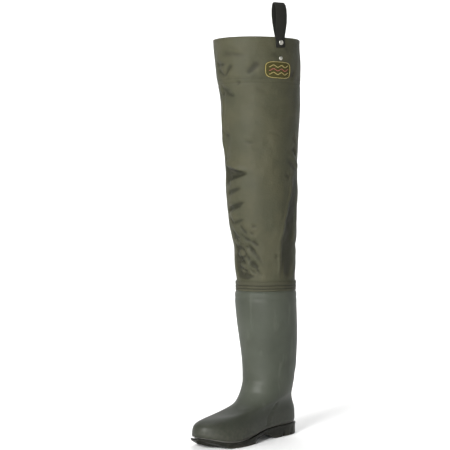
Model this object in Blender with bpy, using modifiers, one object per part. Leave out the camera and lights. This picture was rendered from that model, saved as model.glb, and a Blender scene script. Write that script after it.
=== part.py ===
"""A left hip wader: a moulded boot on a lugged sole, with a cloth leg and a belt strap.

Metres, +Z up, the toe toward -Y and the outer side of the left leg toward +X.
The origin is the middle of the rear heel lug's flat underside, on the floor.
A place along the foot is measured from the back of the heel toward the toe.
An angle around the leg starts at the toe and opens toward the outer side.
"""

import math
from bisect import bisect_right
from collections import namedtuple

import bmesh
import bpy
from mathutils import Matrix, Vector

# Sole sizes
SOLE_LENGTH = 0.300
BALL_WIDTH = 0.102
HEEL_HEIGHT = 0.0240
FOREFOOT_HEIGHT = 0.0105
HEEL_LENGTH = 0.095
HEEL_REST = 0.022
HEEL_BEVEL = 0.003
HEEL_GROOVE_DEPTH = 0.0058
ARCH_HEIGHT = 0.0145
TREAD_START = 0.178
TREAD_RISE_START = 0.242
TREAD_GROOVES = 5
TREAD_LEAD = 0.8
TREAD_GROOVE_WIDTH = 0.0045
TREAD_GROOVE_DEPTH = 0.0035
TREAD_EDGE_SHARE = 0.35
TREAD_CHANNEL_WIDTH = 0.012
HEEL_CHANNEL_WIDTH = 0.036
HEEL_CHEVRON = 0.014
TREAD_MARGIN = 0.006
NARROWEST_SOLE = 0.002
CHANNEL_SHARE = 0.5
MARGIN_SHARE = 0.3
CHAMFER_SHARE = 0.85
GROOVE_DRAFT = 0.0008
TOE_SPRING = 0.0165
TOE_LIFT = 0.0120
WELT_LEDGE = 0.0012
WELT_THICKNESS = 0.0030
SIDE_GROOVE = 0.0009
EDGE_CHAMFER = 0.0012
TOE_ROUNDING = 0.0045
TOE_ROUNDING_RUN = 0.5
TOE_UNDERCUT = 1.2

# Moulded upper sizes
UPPER_WALL = 0.0026
INSTEP_RISE = 0.116
SHAFT_AXIS = 0.082
SHAFT_DEPTH = 0.144
SHAFT_WIDTH = 0.126
COLLAR_HEIGHT = 0.331
COLLAR_SEAT = 0.0175
RIB_ZONE = 0.030
RIB_HEIGHT = 0.0011
FOXING_HEIGHT = 0.009
FOXING_STEP = 0.0008
FOXING_BEVEL = 0.0011
COUNTER_STEP = 0.0009
COUNTER_FOOT = 0.118
COUNTER_HEAD = 0.103
COUNTER_HEIGHT = 0.040
STEP_SOFTNESS = 0.003
SPUR_HEIGHT = 0.026
SPUR_DEPTH = 0.0020
SPUR_WIDTH = 0.030
SPUR_ARC = math.radians(60)
CROWN_START = 0.57
CROWN_RUN = 0.17

# Insole sizes
INSOLE_THICKNESS = 0.003
INSOLE_GAP = 0.0012

# Cloth leg sizes
LEG_WALL = 0.0012
LEG_RING_STEP = 0.026
RIM_HEIGHT = 0.8455
RIM_DEPTH = 0.199
RIM_WIDTH = 0.1674
RIM_SLANT = 0.010
SLANT_START = 0.7
HEM_DEPTH = 0.089
HEM_STEP = 0.0008
HEM_SOFTNESS = 0.005
BAND_HEIGHT = 0.0207
BAND_THICKNESS = 0.0012
BAND_EDGE = 0.0007
CREASE_ANGLE = math.radians(72)
CREASE_HEIGHT = 0.0026
CREASE_SPREAD = math.radians(9)
CREASE_FOOT = 0.04
CREASE_TOP = 0.42
CREASE_FADE = 0.20

# Belt strap sizes
STRAP_ANGLE = math.radians(75.5)
WEBBING_WIDTH = 0.028
WEBBING_THICKNESS = 0.0015
STRAP_RISE = 0.072
STRAP_TAIL = 0.022
STRAP_TAIL_WIDTH = 0.023
STRAP_GATHER_RISE = 0.030
STRAP_OPEN = 0.0138
STRAP_LEAN = 0.0040

# Rivet, stud and patch sizes
RIVET_DROP = 0.0115
RIVET_HEAD = 0.0056
RIVET_DOME = 0.0024
RIVET_SHANK = 0.0019
STUD_DROP = 0.0440
STUD_HEAD = 0.0044
STUD_DOME = 0.0020
WASHER_THICKNESS = 0.0009
RIVET_STEPS = 16
RIVET_BRIM = 0.25
WASHER_SHARE = 0.85
CUTTER_LENGTH = 0.02
PATCH_ANGLE = math.radians(73)
PATCH_DROP = 0.069
PATCH_WIDTH = 0.062
PATCH_HEIGHT = 0.035
PATCH_THICKNESS = 0.0008
PATCH_SQUARENESS = 4.0

CLEARANCE = 0.0003
FEATHER_GAP = 0.0005
COLUMNS = 36
SMOOTH_ANGLE = math.radians(40)

# Sole outline: place along the sole and reach to each side, as shares of sole length and ball width
OutlineRow = namedtuple("OutlineRow", "along outer inner")
OUTLINE = [
    OutlineRow(0.000, 0.000, 0.000),
    OutlineRow(0.020, 0.160, 0.160),
    OutlineRow(0.050, 0.250, 0.250),
    OutlineRow(0.100, 0.325, 0.322),
    OutlineRow(0.170, 0.365, 0.356),
    OutlineRow(0.250, 0.370, 0.348),
    OutlineRow(0.330, 0.366, 0.328),
    OutlineRow(0.420, 0.373, 0.294),
    OutlineRow(0.500, 0.412, 0.304),
    OutlineRow(0.580, 0.461, 0.363),
    OutlineRow(0.660, 0.500, 0.441),
    OutlineRow(0.720, 0.510, 0.490),
    OutlineRow(0.780, 0.490, 0.515),
    OutlineRow(0.840, 0.446, 0.496),
    OutlineRow(0.900, 0.363, 0.432),
    OutlineRow(0.950, 0.235, 0.330),
    OutlineRow(0.980, 0.118, 0.225),
    OutlineRow(1.000, -0.054, 0.054),
]

# Sole top line: how much of the heel's extra height and of the toe's lift each place has
TopRow = namedtuple("TopRow", "along heel toe")
SOLE_TOP = [
    TopRow(0.00, 1.00, 0.00),
    TopRow(0.25, 1.05, 0.00),
    TopRow(0.42, 0.91, 0.00),
    TopRow(0.50, 0.68, 0.00),
    TopRow(0.59, 0.38, 0.00),
    TopRow(0.68, 0.10, 0.00),
    TopRow(0.77, 0.00, 0.00),
    TopRow(0.83, 0.00, 0.10),
    TopRow(0.89, 0.00, 0.32),
    TopRow(0.95, 0.00, 0.72),
    TopRow(1.00, 0.00, 1.00),
]

# Arch: place between the heel's front and the tread's start, and share of the arch height
ArchRow = namedtuple("ArchRow", "along rise")
ARCH = [
    ArchRow(0.00, 0.00),
    ArchRow(0.38, 0.93),
    ArchRow(0.45, 1.00),
    ArchRow(0.65, 0.78),
    ArchRow(0.91, 0.56),
    ArchRow(0.94, 0.20),
    ArchRow(1.00, 0.00),
]

# Heel grooves between the lugs, as shares of the heel length
GrooveRow = namedtuple("GrooveRow", "start end")
HEEL_GROOVES = [GrooveRow(0.43, 0.50), GrooveRow(0.67, 0.78)]

# Foot sections, feather line to ankle: each is a ring from a back point to a front point.
# Places are shares of the sole length, rises of the instep rise above the heel's top,
# the half width of half the ball width, and the outline share says how much of the
# sole's outline the ring still has. Fullness 2 is an ellipse's end, more is blunter.
FootRow = namedtuple(
    "FootRow", "back back_rise front front_rise half widest front_full back_full outline"
)
FOOT = [
    FootRow(0.0030, 0.000, 0.9970, 0.000, 0.995, 0.55, 2.60, 2.2, 1.00),
    FootRow(-0.001, 0.069, 1.0000, 0.073, 1.000, 0.55, 2.60, 2.2, 0.97),
    FootRow(-0.001, 0.147, 0.9990, 0.126, 0.990, 0.54, 2.65, 2.2, 0.88),
    FootRow(-0.002, 0.241, 0.9910, 0.190, 0.970, 0.52, 2.75, 2.2, 0.76),
    FootRow(0.0010, 0.328, 0.9690, 0.238, 0.915, 0.50, 2.75, 2.1, 0.60),
    FootRow(0.0065, 0.405, 0.9350, 0.268, 0.845, 0.48, 2.70, 2.1, 0.43),
    FootRow(0.0135, 0.474, 0.8870, 0.285, 0.820, 0.45, 2.42, 2.0, 0.27),
    FootRow(0.0220, 0.543, 0.8200, 0.296, 0.835, 0.42, 2.15, 2.0, 0.14),
    FootRow(0.0285, 0.603, 0.7470, 0.308, 0.860, 0.41, 2.00, 2.0, 0.06),
    FootRow(0.0320, 0.664, 0.6730, 0.334, 0.895, 0.41, 1.90, 2.0, 0.00),
    FootRow(0.0345, 0.724, 0.6070, 0.382, 0.925, 0.43, 1.88, 2.0, 0.00),
    FootRow(0.0360, 0.793, 0.5530, 0.460, 0.950, 0.45, 1.90, 2.0, 0.00),
    FootRow(0.0330, 0.871, 0.5030, 0.595, 0.985, 0.47, 1.94, 2.0, 0.00),
    FootRow(0.0290, 0.957, 0.4700, 0.750, 1.010, 0.48, 1.97, 2.0, 0.00),
    FootRow(0.0250, 1.069, 0.4560, 0.940, 1.035, 0.50, 2.00, 2.0, 0.00),
]

# Boot shaft sections: height as a share of the collar height, reach behind and before the
# shaft's axis as shares of the shaft depth, half width as a share of the shaft width
ShaftRow = namedtuple("ShaftRow", "height behind before half")
SHAFT = [
    ShaftRow(0.520, 0.524, 0.385, 0.443),
    ShaftRow(0.604, 0.526, 0.418, 0.470),
    ShaftRow(0.689, 0.519, 0.456, 0.490),
    ShaftRow(0.773, 0.502, 0.489, 0.499),
    ShaftRow(0.846, 0.487, 0.507, 0.504),
    ShaftRow(0.906, 0.474, 0.505, 0.501),
]
COLLAR_REACH = ShaftRow(1.0, 0.4375, 0.4650, 0.460)

# Ribs under the collar: depth below the seam band as a share of the rib zone, and height
RibRow = namedtuple("RibRow", "depth proud")
RIBS = [
    RibRow(1.00, 0.0),
    RibRow(0.88, 0.0),
    RibRow(0.76, 1.0),
    RibRow(0.62, 0.0),
    RibRow(0.50, 0.2),
    RibRow(0.40, 1.0),
    RibRow(0.28, 0.0),
    RibRow(0.15, 1.0),
    RibRow(0.09, 0.3),
]

# Cloth leg sections above the collar: height as a share of the leg's height above it, reach
# behind and before the shaft's axis as shares of the rim depth, half width of the rim width
LegRow = namedtuple("LegRow", "height behind before half")
LEG = [
    LegRow(0.028, 0.333, 0.350, 0.358),
    LegRow(0.078, 0.328, 0.375, 0.365),
    LegRow(0.144, 0.332, 0.366, 0.366),
    LegRow(0.183, 0.330, 0.406, 0.382),
    LegRow(0.216, 0.329, 0.444, 0.398),
    LegRow(0.285, 0.325, 0.461, 0.407),
    LegRow(0.361, 0.336, 0.494, 0.424),
    LegRow(0.440, 0.334, 0.501, 0.428),
    LegRow(0.515, 0.333, 0.510, 0.431),
    LegRow(0.627, 0.353, 0.569, 0.457),
    LegRow(0.740, 0.365, 0.564, 0.470),
    LegRow(0.833, 0.353, 0.620, 0.487),
    LegRow(0.924, 0.340, 0.645, 0.500),
    LegRow(1.000, 0.322, 0.663, 0.500),
]

# Large folds in the cloth: height share, angle around, half height and half width of the
# fold as shares of the rim width, and depth inward as a share of the rim width
FoldRow = namedtuple("FoldRow", "height degrees tall wide depth")
FOLDS = [
    FoldRow(0.645, -42, 0.060, 0.34, 0.018),
    FoldRow(0.600, 20, 0.080, 0.22, 0.010),
    FoldRow(0.415, -30, 0.070, 0.30, 0.014),
    FoldRow(0.205, 5, 0.065, 0.36, 0.020),
    FoldRow(0.160, 120, 0.060, 0.26, 0.010),
    FoldRow(0.330, 200, 0.090, 0.34, 0.012),
]

# Strap side profile, inner layer up and outer layer down: reach as a share of the opening
# on each side of the middle, height as a share of the rise above the rim
StrapRow = namedtuple("StrapRow", "reach rise")
STRAP_ARCH = [
    StrapRow(-0.12, 0.06),
    StrapRow(-0.26, 0.22),
    StrapRow(-0.42, 0.42),
    StrapRow(-0.50, 0.62),
    StrapRow(-0.47, 0.80),
    StrapRow(-0.30, 0.94),
    StrapRow(0.00, 1.00),
    StrapRow(0.30, 0.94),
    StrapRow(0.47, 0.80),
    StrapRow(0.50, 0.62),
    StrapRow(0.42, 0.42),
    StrapRow(0.26, 0.22),
    StrapRow(0.12, 0.06),
]

Section = namedtuple(
    "Section", "back back_z front front_z half widest front_full back_full outline"
)
COLLECTION_NAME = "hip_wader"


def smooth_step(value):
    """Zero below 0, one above 1 and a soft S between."""
    value = min(1.0, max(0.0, value))
    return value * value * (3 - 2 * value)


def curve_through(places, values, place):
    """A smooth curve through the values, read at a place."""
    last = len(places) - 1
    left = min(max(bisect_right(places, place) - 1, 0), last - 1)
    right = left + 1
    span = places[right] - places[left]

    def slope(index):
        before = max(index - 1, 0)
        after = min(index + 1, last)
        return (values[after] - values[before]) / (places[after] - places[before])

    share = (place - places[left]) / span
    square = share * share
    cube = square * share
    return (
        (2 * cube - 3 * square + 1) * values[left]
        + (cube - 2 * square + share) * span * slope(left)
        + (3 * square - 2 * cube) * values[right]
        + (cube - square) * span * slope(right)
    )


def line_through(points, place):
    """Straight lines through (place, value) pairs, read at a place."""
    places = [point[0] for point in points]
    left = min(max(bisect_right(places, place) - 1, 0), len(points) - 2)
    start, end = points[left], points[left + 1]
    share = min(1.0, max(0.0, (place - start[0]) / (end[0] - start[0])))
    return start[1] + (end[1] - start[1]) * share


OUTLINE_TURNS = [math.acos(1 - 2 * row.along) / math.pi for row in OUTLINE]
OUTER_REACH = [row.outer for row in OUTLINE]
INNER_REACH = [-row.inner for row in OUTLINE]


def outline_at(turn, side):
    """Place along the sole and sideways reach; turn 0 is the heel's back, 1 the toe's tip."""
    reach = OUTER_REACH if side > 0 else INNER_REACH
    along = SOLE_LENGTH * (1 - math.cos(math.pi * turn)) / 2
    return along, BALL_WIDTH * curve_through(OUTLINE_TURNS, reach, turn)


def outline_beside(turn, side, offset):
    """The outline moved outward by an offset."""
    step = 0.002
    before = outline_at(max(turn - step, 0.0), side)
    after = outline_at(min(turn + step, 1.0), side)
    along, across = outline_at(turn, side)
    run = after[0] - before[0]
    spread = after[1] - before[1]
    length = math.hypot(run, spread)
    return along - side * spread / length * offset, across + side * run / length * offset


def outline_middle(along):
    """The sideways place of the outline's middle, at a place along the sole."""
    turn = math.acos(1 - 2 * min(1.0, max(0.0, along / SOLE_LENGTH))) / math.pi
    return (outline_at(turn, 1)[1] + outline_at(turn, -1)[1]) / 2


def crown_middle(along):
    """The sideways place of the foot's ridge: straight at the instep, bent inward at the toe."""
    bent = smooth_step((along / SOLE_LENGTH - CROWN_START) / CROWN_RUN)
    return outline_middle(along) * bent


def sole_top(along):
    """Height of the sole's top edge."""
    share = min(1.0, max(0.0, along / SOLE_LENGTH))
    places = [row.along for row in SOLE_TOP]
    heel = curve_through(places, [row.heel for row in SOLE_TOP], share)
    toe = curve_through(places, [row.toe for row in SOLE_TOP], share)
    return FOREFOOT_HEIGHT + (HEEL_HEIGHT - FOREFOOT_HEIGHT) * heel + TOE_LIFT * toe


def sole_ground(along):
    """Height of the lugs' underside and of the arch."""
    if along < HEEL_LENGTH:
        return max(0.0, HEEL_BEVEL - along)
    if along < TREAD_START:
        share = (along - HEEL_LENGTH) / (TREAD_START - HEEL_LENGTH)
        return ARCH_HEIGHT * line_through(ARCH, share)
    rise = max(0.0, along - TREAD_RISE_START) / (SOLE_LENGTH - TREAD_RISE_START)
    return TOE_SPRING * rise * rise


def groove_nodes():
    """Pairs of place along the sole and groove depth share, walls drafted."""
    spans = [(HEEL_LENGTH * row.start, HEEL_LENGTH * row.end) for row in HEEL_GROOVES]
    pitch = (SOLE_LENGTH - TREAD_START) / (TREAD_GROOVES + 1)
    for index in range(TREAD_GROOVES):
        start = TREAD_START + pitch * (index + TREAD_LEAD)
        spans.append((start, start + TREAD_GROOVE_WIDTH))
    nodes = [(0.0, 0.0)]
    for start, end in spans:
        nodes += [(start, 0.0), (start + GROOVE_DRAFT, 1.0)]
        nodes += [(end - GROOVE_DRAFT, 1.0), (end, 0.0)]
    nodes.append((SOLE_LENGTH, 0.0))
    return nodes


def sole_stations(nodes):
    """Places along the sole where its section changes, and turns that round its ends."""
    fixed = [place for place, _ in nodes[1:-1]]
    fixed += [
        HEEL_LENGTH + (TREAD_START - HEEL_LENGTH) * row.along for row in ARCH
    ]
    end_turn = 0.035
    steps = 28
    turns = [end_turn + (1 - 2 * end_turn) * index / steps for index in range(steps + 1)]
    places = [SOLE_LENGTH * (1 - math.cos(math.pi * turn)) / 2 for turn in turns]
    closest = 0.0022
    ends = (places[0], places[-1])
    kept = [
        place
        for place in places
        if place in ends or min(abs(place - other) for other in fixed) > closest
    ]
    return sorted(fixed + kept)


def sole_levels(along, nodes):
    """The sole's half section at one place: (kind, value, height) from the top edge inward."""
    turn = math.acos(1 - 2 * along / SOLE_LENGTH) / math.pi
    top = sole_top(along)
    ground = sole_ground(along)
    groove = line_through(nodes, along)
    is_heel = along < HEEL_LENGTH
    depth = HEEL_GROOVE_DEPTH if is_heel else TREAD_GROOVE_DEPTH
    edge = ground + groove * depth * (1 if is_heel else TREAD_EDGE_SHARE)
    inside = ground + groove * depth
    channel, channel_width = inside, TREAD_CHANNEL_WIDTH
    if along >= TREAD_START:
        channel = ground + TREAD_GROOVE_DEPTH
    elif along > HEEL_LENGTH * HEEL_GROOVES[0].end - GROOVE_DRAFT:
        channel = max(ground, HEEL_GROOVE_DEPTH)
        channel_width = HEEL_CHANNEL_WIDTH
    reach = max(NARROWEST_SOLE, min(outline_at(turn, 1)[1], -outline_at(turn, -1)[1]))
    half_channel = min(channel_width / 2, reach * CHANNEL_SHARE)
    margin = min(TREAD_MARGIN, reach * MARGIN_SHARE)
    room = top - WELT_THICKNESS - SIDE_GROOVE / 2 - edge
    rounding_run = (SOLE_LENGTH - TREAD_RISE_START) * TOE_ROUNDING_RUN
    toe_share = smooth_step((along - TREAD_RISE_START) / rounding_run)
    chamfer = min(EDGE_CHAMFER + TOE_ROUNDING * toe_share, room * CHAMFER_SHARE)
    undercut = chamfer * (1 + TOE_UNDERCUT * toe_share)
    return [
        ("offset", WELT_LEDGE, top),
        ("offset", WELT_LEDGE, top - WELT_THICKNESS),
        ("offset", WELT_LEDGE - SIDE_GROOVE, top - WELT_THICKNESS - SIDE_GROOVE / 2),
        ("offset", WELT_LEDGE - SIDE_GROOVE, edge + chamfer),
        ("offset", WELT_LEDGE - SIDE_GROOVE - undercut, edge),
        ("offset", -undercut - margin, inside),
        ("across", half_channel + GROOVE_DRAFT / 2, inside),
        ("across", half_channel, channel),
    ]


def place_point(along, across, height):
    """World point of a place along the sole, sideways and up."""
    return Vector((across, HEEL_REST - along, height))


def chevron_share(along):
    """How far the heel's lugs lean back toward the middle: all of it at the heel's front."""
    start = HEEL_LENGTH * HEEL_GROOVES[0].start
    front = HEEL_LENGTH * HEEL_GROOVES[1].start
    leaning = smooth_step((along - start) / (front - start))
    return leaning * smooth_step((TREAD_START - along) / (TREAD_START - HEEL_LENGTH))


def level_point(along, side, level):
    kind, value, height = level
    turn = math.acos(1 - 2 * along / SOLE_LENGTH) / math.pi
    if kind == "offset":
        place, across = outline_beside(turn, side, value)
    else:
        place = along - HEEL_CHEVRON * chevron_share(along)
        across = outline_middle(along) + side * value
    return place_point(place, across, height)


def foot_section(row):
    """A foot row in metres, its front as high over the toe's top line as it follows it."""
    toe_base = row.outline * sole_top(SOLE_LENGTH) + (1 - row.outline) * HEEL_HEIGHT
    return Section(
        row.back * SOLE_LENGTH,
        HEEL_HEIGHT + row.back_rise * INSTEP_RISE,
        row.front * SOLE_LENGTH,
        toe_base + row.front_rise * INSTEP_RISE,
        row.half * BALL_WIDTH / 2,
        row.widest,
        row.front_full,
        row.back_full,
        row.outline,
    )


def level_section(height, behind, before, half, slant=0.0):
    """A level ring around the shaft's axis, in metres."""
    return Section(
        SHAFT_AXIS - behind,
        height + slant / 2,
        SHAFT_AXIS + before,
        height - slant / 2,
        half,
        0.5,
        2.0,
        2.0,
        0.0,
    )


def shaft_section(row):
    return level_section(
        row.height * COLLAR_HEIGHT,
        row.behind * SHAFT_DEPTH,
        row.before * SHAFT_DEPTH,
        row.half * SHAFT_WIDTH,
    )


def collar_section(height, growth=0.0):
    """The straight collar that the cloth leg slips over, grown outward by an amount."""
    return level_section(
        height,
        COLLAR_REACH.behind * SHAFT_DEPTH + growth,
        COLLAR_REACH.before * SHAFT_DEPTH + growth,
        COLLAR_REACH.half * SHAFT_WIDTH + growth,
    )


BAND_BOTTOM = COLLAR_HEIGHT - COLLAR_SEAT
SHOULDER_BOTTOM = BAND_BOTTOM - RIB_ZONE * RIBS[-1].depth
UPPER_SECTIONS = [foot_section(row) for row in FOOT]
UPPER_SECTIONS += [shaft_section(row) for row in SHAFT]


def leg_section(row):
    share = row.height
    height = COLLAR_HEIGHT + share * (RIM_HEIGHT - COLLAR_HEIGHT)
    slant = RIM_SLANT * smooth_step((share - SLANT_START) / (1 - SLANT_START))
    return level_section(
        height,
        row.behind * RIM_DEPTH,
        row.before * RIM_DEPTH,
        row.half * RIM_WIDTH,
        slant,
    )


LEG_FIT = CLEARANCE + LEG_WALL
LEG_SECTIONS = [
    collar_section(BAND_BOTTOM + CLEARANCE, LEG_FIT),
    collar_section(BAND_BOTTOM + BAND_HEIGHT + CLEARANCE, LEG_FIT),
]
LEG_SECTIONS += [leg_section(row) for row in LEG]


def section_at(sections, place):
    """The section at a real-numbered place in a list, by a smooth curve through its rows."""
    places = list(range(len(sections)))
    columns = zip(*sections)
    return Section(*(curve_through(places, list(column), place) for column in columns))


def ring_point(section, angle):
    """A point of a section's ring; angle 0 is its front and a positive angle the outer side."""
    turned = math.atan2(math.sin(angle), math.cos(angle))
    side = 1 if turned >= 0 else -1
    turn = 1 - abs(turned) / math.pi
    share = (1 - math.cos(math.pi * turn)) / 2
    along = section.back + (section.front - section.back) * share
    if share > section.widest:
        away = (share - section.widest) / (1 - section.widest)
        fullness = section.front_full
    else:
        away = (section.widest - share) / section.widest
        fullness = section.back_full
    round_reach = side * max(0.0, 1 - away**fullness) ** (1 / fullness)
    outline = min(1.0, max(0.0, section.outline))
    reach = outline_at(turn, side)[1] / (BALL_WIDTH / 2)
    across = section.half * (outline * reach + (1 - outline) * round_reach)
    across += (1 - outline) * crown_middle(section.front) * share * share
    height = section.back_z + (section.front_z - section.back_z) * share
    feather_chord = sole_top(0.0) + (sole_top(SOLE_LENGTH) - sole_top(0.0)) * share
    height += outline * (sole_top(SOLE_LENGTH * share) - feather_chord)
    return place_point(along, across, height)


def ring_normal(sections, place, angle):
    """Outward direction of the surface through the sections."""
    last = len(sections) - 1
    low = section_at(sections, max(place - 0.05, 0.0))
    high = section_at(sections, min(place + 0.05, last))
    here = section_at(sections, place)
    turn = math.radians(1.5)
    around = ring_point(here, angle + turn) - ring_point(here, angle - turn)
    upward = ring_point(high, angle) - ring_point(low, angle)
    return around.cross(upward).normalized()


def angles_around():
    return [2 * math.pi * index / COLUMNS for index in range(COLUMNS)]


def surface_ring(sections, place, offset):
    """A ring of points on the surface, each moved outward by offset(point, angle)."""
    section = section_at(sections, place)
    points = []
    for angle in angles_around():
        point = ring_point(section, angle)
        amount = offset(point, angle)
        points.append(point + ring_normal(sections, place, angle) * amount)
    return points


def level_ring(section, growth):
    """A level ring, grown outward in its own plane."""
    grown = section._replace(
        back=section.back - growth, front=section.front + growth, half=section.half + growth
    )
    return [ring_point(grown, angle) for angle in angles_around()]


def upper_detail(point, angle):
    """How far the counter and the kick spur stand proud of the foot's surface."""
    along = HEEL_REST - point.y
    above = point.z - HEEL_HEIGHT
    slope = (COUNTER_HEAD - COUNTER_FOOT) / COUNTER_HEIGHT
    front_edge = COUNTER_FOOT + slope * above
    inside = smooth_step((front_edge - along) / STEP_SOFTNESS + 0.5)
    inside *= smooth_step((COUNTER_HEIGHT - above) / STEP_SOFTNESS + 0.5)
    spur = math.exp(-(((above - SPUR_HEIGHT) / STEP_SOFTNESS) ** 2))
    spur *= smooth_step((SPUR_WIDTH / 2 - abs(point.x)) / STEP_SOFTNESS)
    spur *= 1 if abs(angle - math.pi) < SPUR_ARC else 0
    return COUNTER_STEP * inside + SPUR_DEPTH * spur


def leg_detail(point, angle):
    """The cloth's pressed crease, its large folds and the thicker hem."""
    cloth_height = RIM_HEIGHT - COLLAR_HEIGHT
    share = (point.z - COLLAR_HEIGHT) / cloth_height
    amount = 0.0
    for crease in (CREASE_ANGLE, CREASE_ANGLE + math.pi):
        apart = abs(math.atan2(math.sin(angle - crease), math.cos(angle - crease)))
        fade = smooth_step(share / CREASE_FOOT) * smooth_step((CREASE_TOP - share) / CREASE_FADE)
        amount += CREASE_HEIGHT * fade * max(0.0, 1 - apart / (2 * CREASE_SPREAD))
    for fold in FOLDS:
        apart = math.radians(fold.degrees) - angle
        sideways = math.atan2(math.sin(apart), math.cos(apart)) / 2 / fold.wide
        tall = fold.tall * RIM_WIDTH
        upward = (share - fold.height) * cloth_height / tall
        amount -= fold.depth * RIM_WIDTH * math.exp(-sideways * sideways - upward * upward)
    above_hem = point.z - (RIM_HEIGHT - HEM_DEPTH)
    amount += HEM_STEP * smooth_step(above_hem / HEM_SOFTNESS)
    return amount


def join_rings(mesh, rings):
    """Quads between each ring and the next, all rings with as many points."""
    rows = [[mesh.verts.new(point) for point in ring] for ring in rings]
    for low, high in zip(rows, rows[1:]):
        count = len(low)
        for index in range(count):
            after = (index + 1) % count
            mesh.faces.new((low[index], low[after], high[after], high[index]))
    return rows


def close_tube(mesh, first, last):
    """Quads that join the last ring to the first, which makes a hollow tube's end face."""
    count = len(first)
    for index in range(count):
        after = (index + 1) % count
        mesh.faces.new((last[index], last[after], first[after], first[index]))


def finish_mesh(name, mesh, material):
    """A mesh object in the part's collection, faces turned outward and split in triangles."""
    bmesh.ops.recalc_face_normals(mesh, faces=mesh.faces)
    bmesh.ops.triangulate(mesh, faces=mesh.faces)
    data = bpy.data.meshes.new(name)
    mesh.to_mesh(data)
    mesh.free()
    data.shade_smooth()
    data.set_sharp_from_angle(angle=SMOOTH_ANGLE)
    data.materials.append(material)
    piece = bpy.data.objects.new(name, data)
    bpy.data.collections[COLLECTION_NAME].objects.link(piece)
    return piece


def plain_material(name, color, roughness, metallic=0.0):
    material = bpy.data.materials.new(name)
    material.use_nodes = True
    shader = material.node_tree.nodes["Principled BSDF"]
    shader.inputs["Base Color"].default_value = (*color, 1.0)
    shader.inputs["Roughness"].default_value = roughness
    shader.inputs["Metallic"].default_value = metallic
    return material


def make_outsole():
    """The black sole: welt ledge, side groove, heel block, arch, and lugs split by a channel."""
    nodes = groove_nodes()
    mesh = bmesh.new()
    rings = []
    for along in sole_stations(nodes):
        levels = sole_levels(along, nodes)
        outer = [level_point(along, 1, level) for level in levels]
        inner = [level_point(along, -1, level) for level in levels]
        rings.append(outer + inner[::-1])
    rows = join_rings(mesh, rings)
    count = len(rows[0])
    for row in (rows[0], rows[-1]):
        for index in range(count // 2 - 1):
            across = count - 1 - index
            mesh.faces.new((row[index], row[index + 1], row[across - 1], row[across]))
    material = plain_material("outsole_black", (0.018, 0.018, 0.015), 0.62)
    return finish_mesh("outsole", mesh, material)


def make_insole():
    """A flat sock that lies on the sole, inside the upper's wall."""
    inset = UPPER_WALL + 2 * INSOLE_GAP
    mesh = bmesh.new()
    rings = []
    steps = 26
    end_turn = 0.05
    for index in range(steps + 1):
        turn = end_turn + (1 - 2 * end_turn) * index / steps
        ring = []
        for side, rise in ((1, 0), (1, 1), (-1, 1), (-1, 0)):
            along, across = outline_beside(turn, side, -inset - FOXING_STEP)
            floor = sole_top(SOLE_LENGTH * (1 - math.cos(math.pi * turn)) / 2)
            height = floor + CLEARANCE + rise * INSOLE_THICKNESS
            ring.append(place_point(along, across, height))
        rings.append(ring)
    rows = join_rings(mesh, rings)
    mesh.faces.new(rows[0])
    mesh.faces.new(rows[-1])
    material = plain_material("insole_grey", (0.10, 0.10, 0.09), 0.9)
    return finish_mesh("insole", mesh, material)


def foxing_detail(point, angle):
    """The low band above the sole stands proud all round."""
    return FOXING_STEP


def inner_wall(point, angle):
    return -UPPER_WALL


def make_upper():
    """The moulded foot and shaft, one hollow wall open at the collar and under the foot."""
    foot_rows = len(FOOT)
    mesh = bmesh.new()
    feather = surface_ring(UPPER_SECTIONS, 0, foxing_detail)
    for point, angle in zip(feather, angles_around()):
        point.z = ring_point(UPPER_SECTIONS[0], angle).z + FEATHER_GAP
    first_rise = FOOT[1].back_rise * INSTEP_RISE
    foxing_top = FOXING_HEIGHT / first_rise
    foxing_edge = (FOXING_HEIGHT + FOXING_BEVEL) / first_rise
    outer = [
        feather,
        surface_ring(UPPER_SECTIONS, foxing_top, foxing_detail),
        surface_ring(UPPER_SECTIONS, foxing_edge, upper_detail),
    ]
    halves = 2 * (foot_rows - 1)
    outer += [
        surface_ring(UPPER_SECTIONS, index / 2, upper_detail) for index in range(3, halves + 1)
    ]
    for place in range(foot_rows, len(UPPER_SECTIONS)):
        outer.append(surface_ring(UPPER_SECTIONS, place, upper_detail))
    below_row, top_row = UPPER_SECTIONS[-2:]
    for rib in RIBS:
        height = BAND_BOTTOM - RIB_ZONE * rib.depth
        share = (height - below_row.back_z) / (top_row.back_z - below_row.back_z)
        shape = section_at(UPPER_SECTIONS, len(UPPER_SECTIONS) - 2 + min(share, 1.0))
        shape = shape._replace(back_z=height, front_z=height)
        outer.append(level_ring(shape, RIB_HEIGHT * rib.proud))
    outer = sorted(outer, key=lambda ring: sum(point.z for point in ring) / len(ring))
    outer.append(level_ring(collar_section(BAND_BOTTOM - CLEARANCE), 0.0))
    outer.append(level_ring(collar_section(COLLAR_HEIGHT), 0.0))
    inner = [
        surface_ring(UPPER_SECTIONS, place, inner_wall) for place in range(len(UPPER_SECTIONS))
    ]
    for low, point in zip(inner[0], feather):
        low.z = point.z
    shoulder = top_row._replace(back_z=SHOULDER_BOTTOM, front_z=SHOULDER_BOTTOM)
    inner.append(level_ring(shoulder, -UPPER_WALL))
    inner.append(level_ring(collar_section(BAND_BOTTOM - CLEARANCE), -UPPER_WALL))
    inner.append(level_ring(collar_section(COLLAR_HEIGHT), -UPPER_WALL))
    rows = join_rings(mesh, outer + inner[::-1])
    close_tube(mesh, rows[0], rows[-1])
    material = plain_material("upper_grey_green", (0.105, 0.112, 0.092), 0.42)
    return finish_mesh("upper", mesh, material)


def leg_place(height):
    """The real-numbered place among the leg's sections at a height."""
    heights = [(section.back_z + section.front_z) / 2 for section in LEG_SECTIONS]
    left = min(max(bisect_right(heights, height) - 1, 0), len(heights) - 2)
    return left + (height - heights[left]) / (heights[left + 1] - heights[left])


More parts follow.
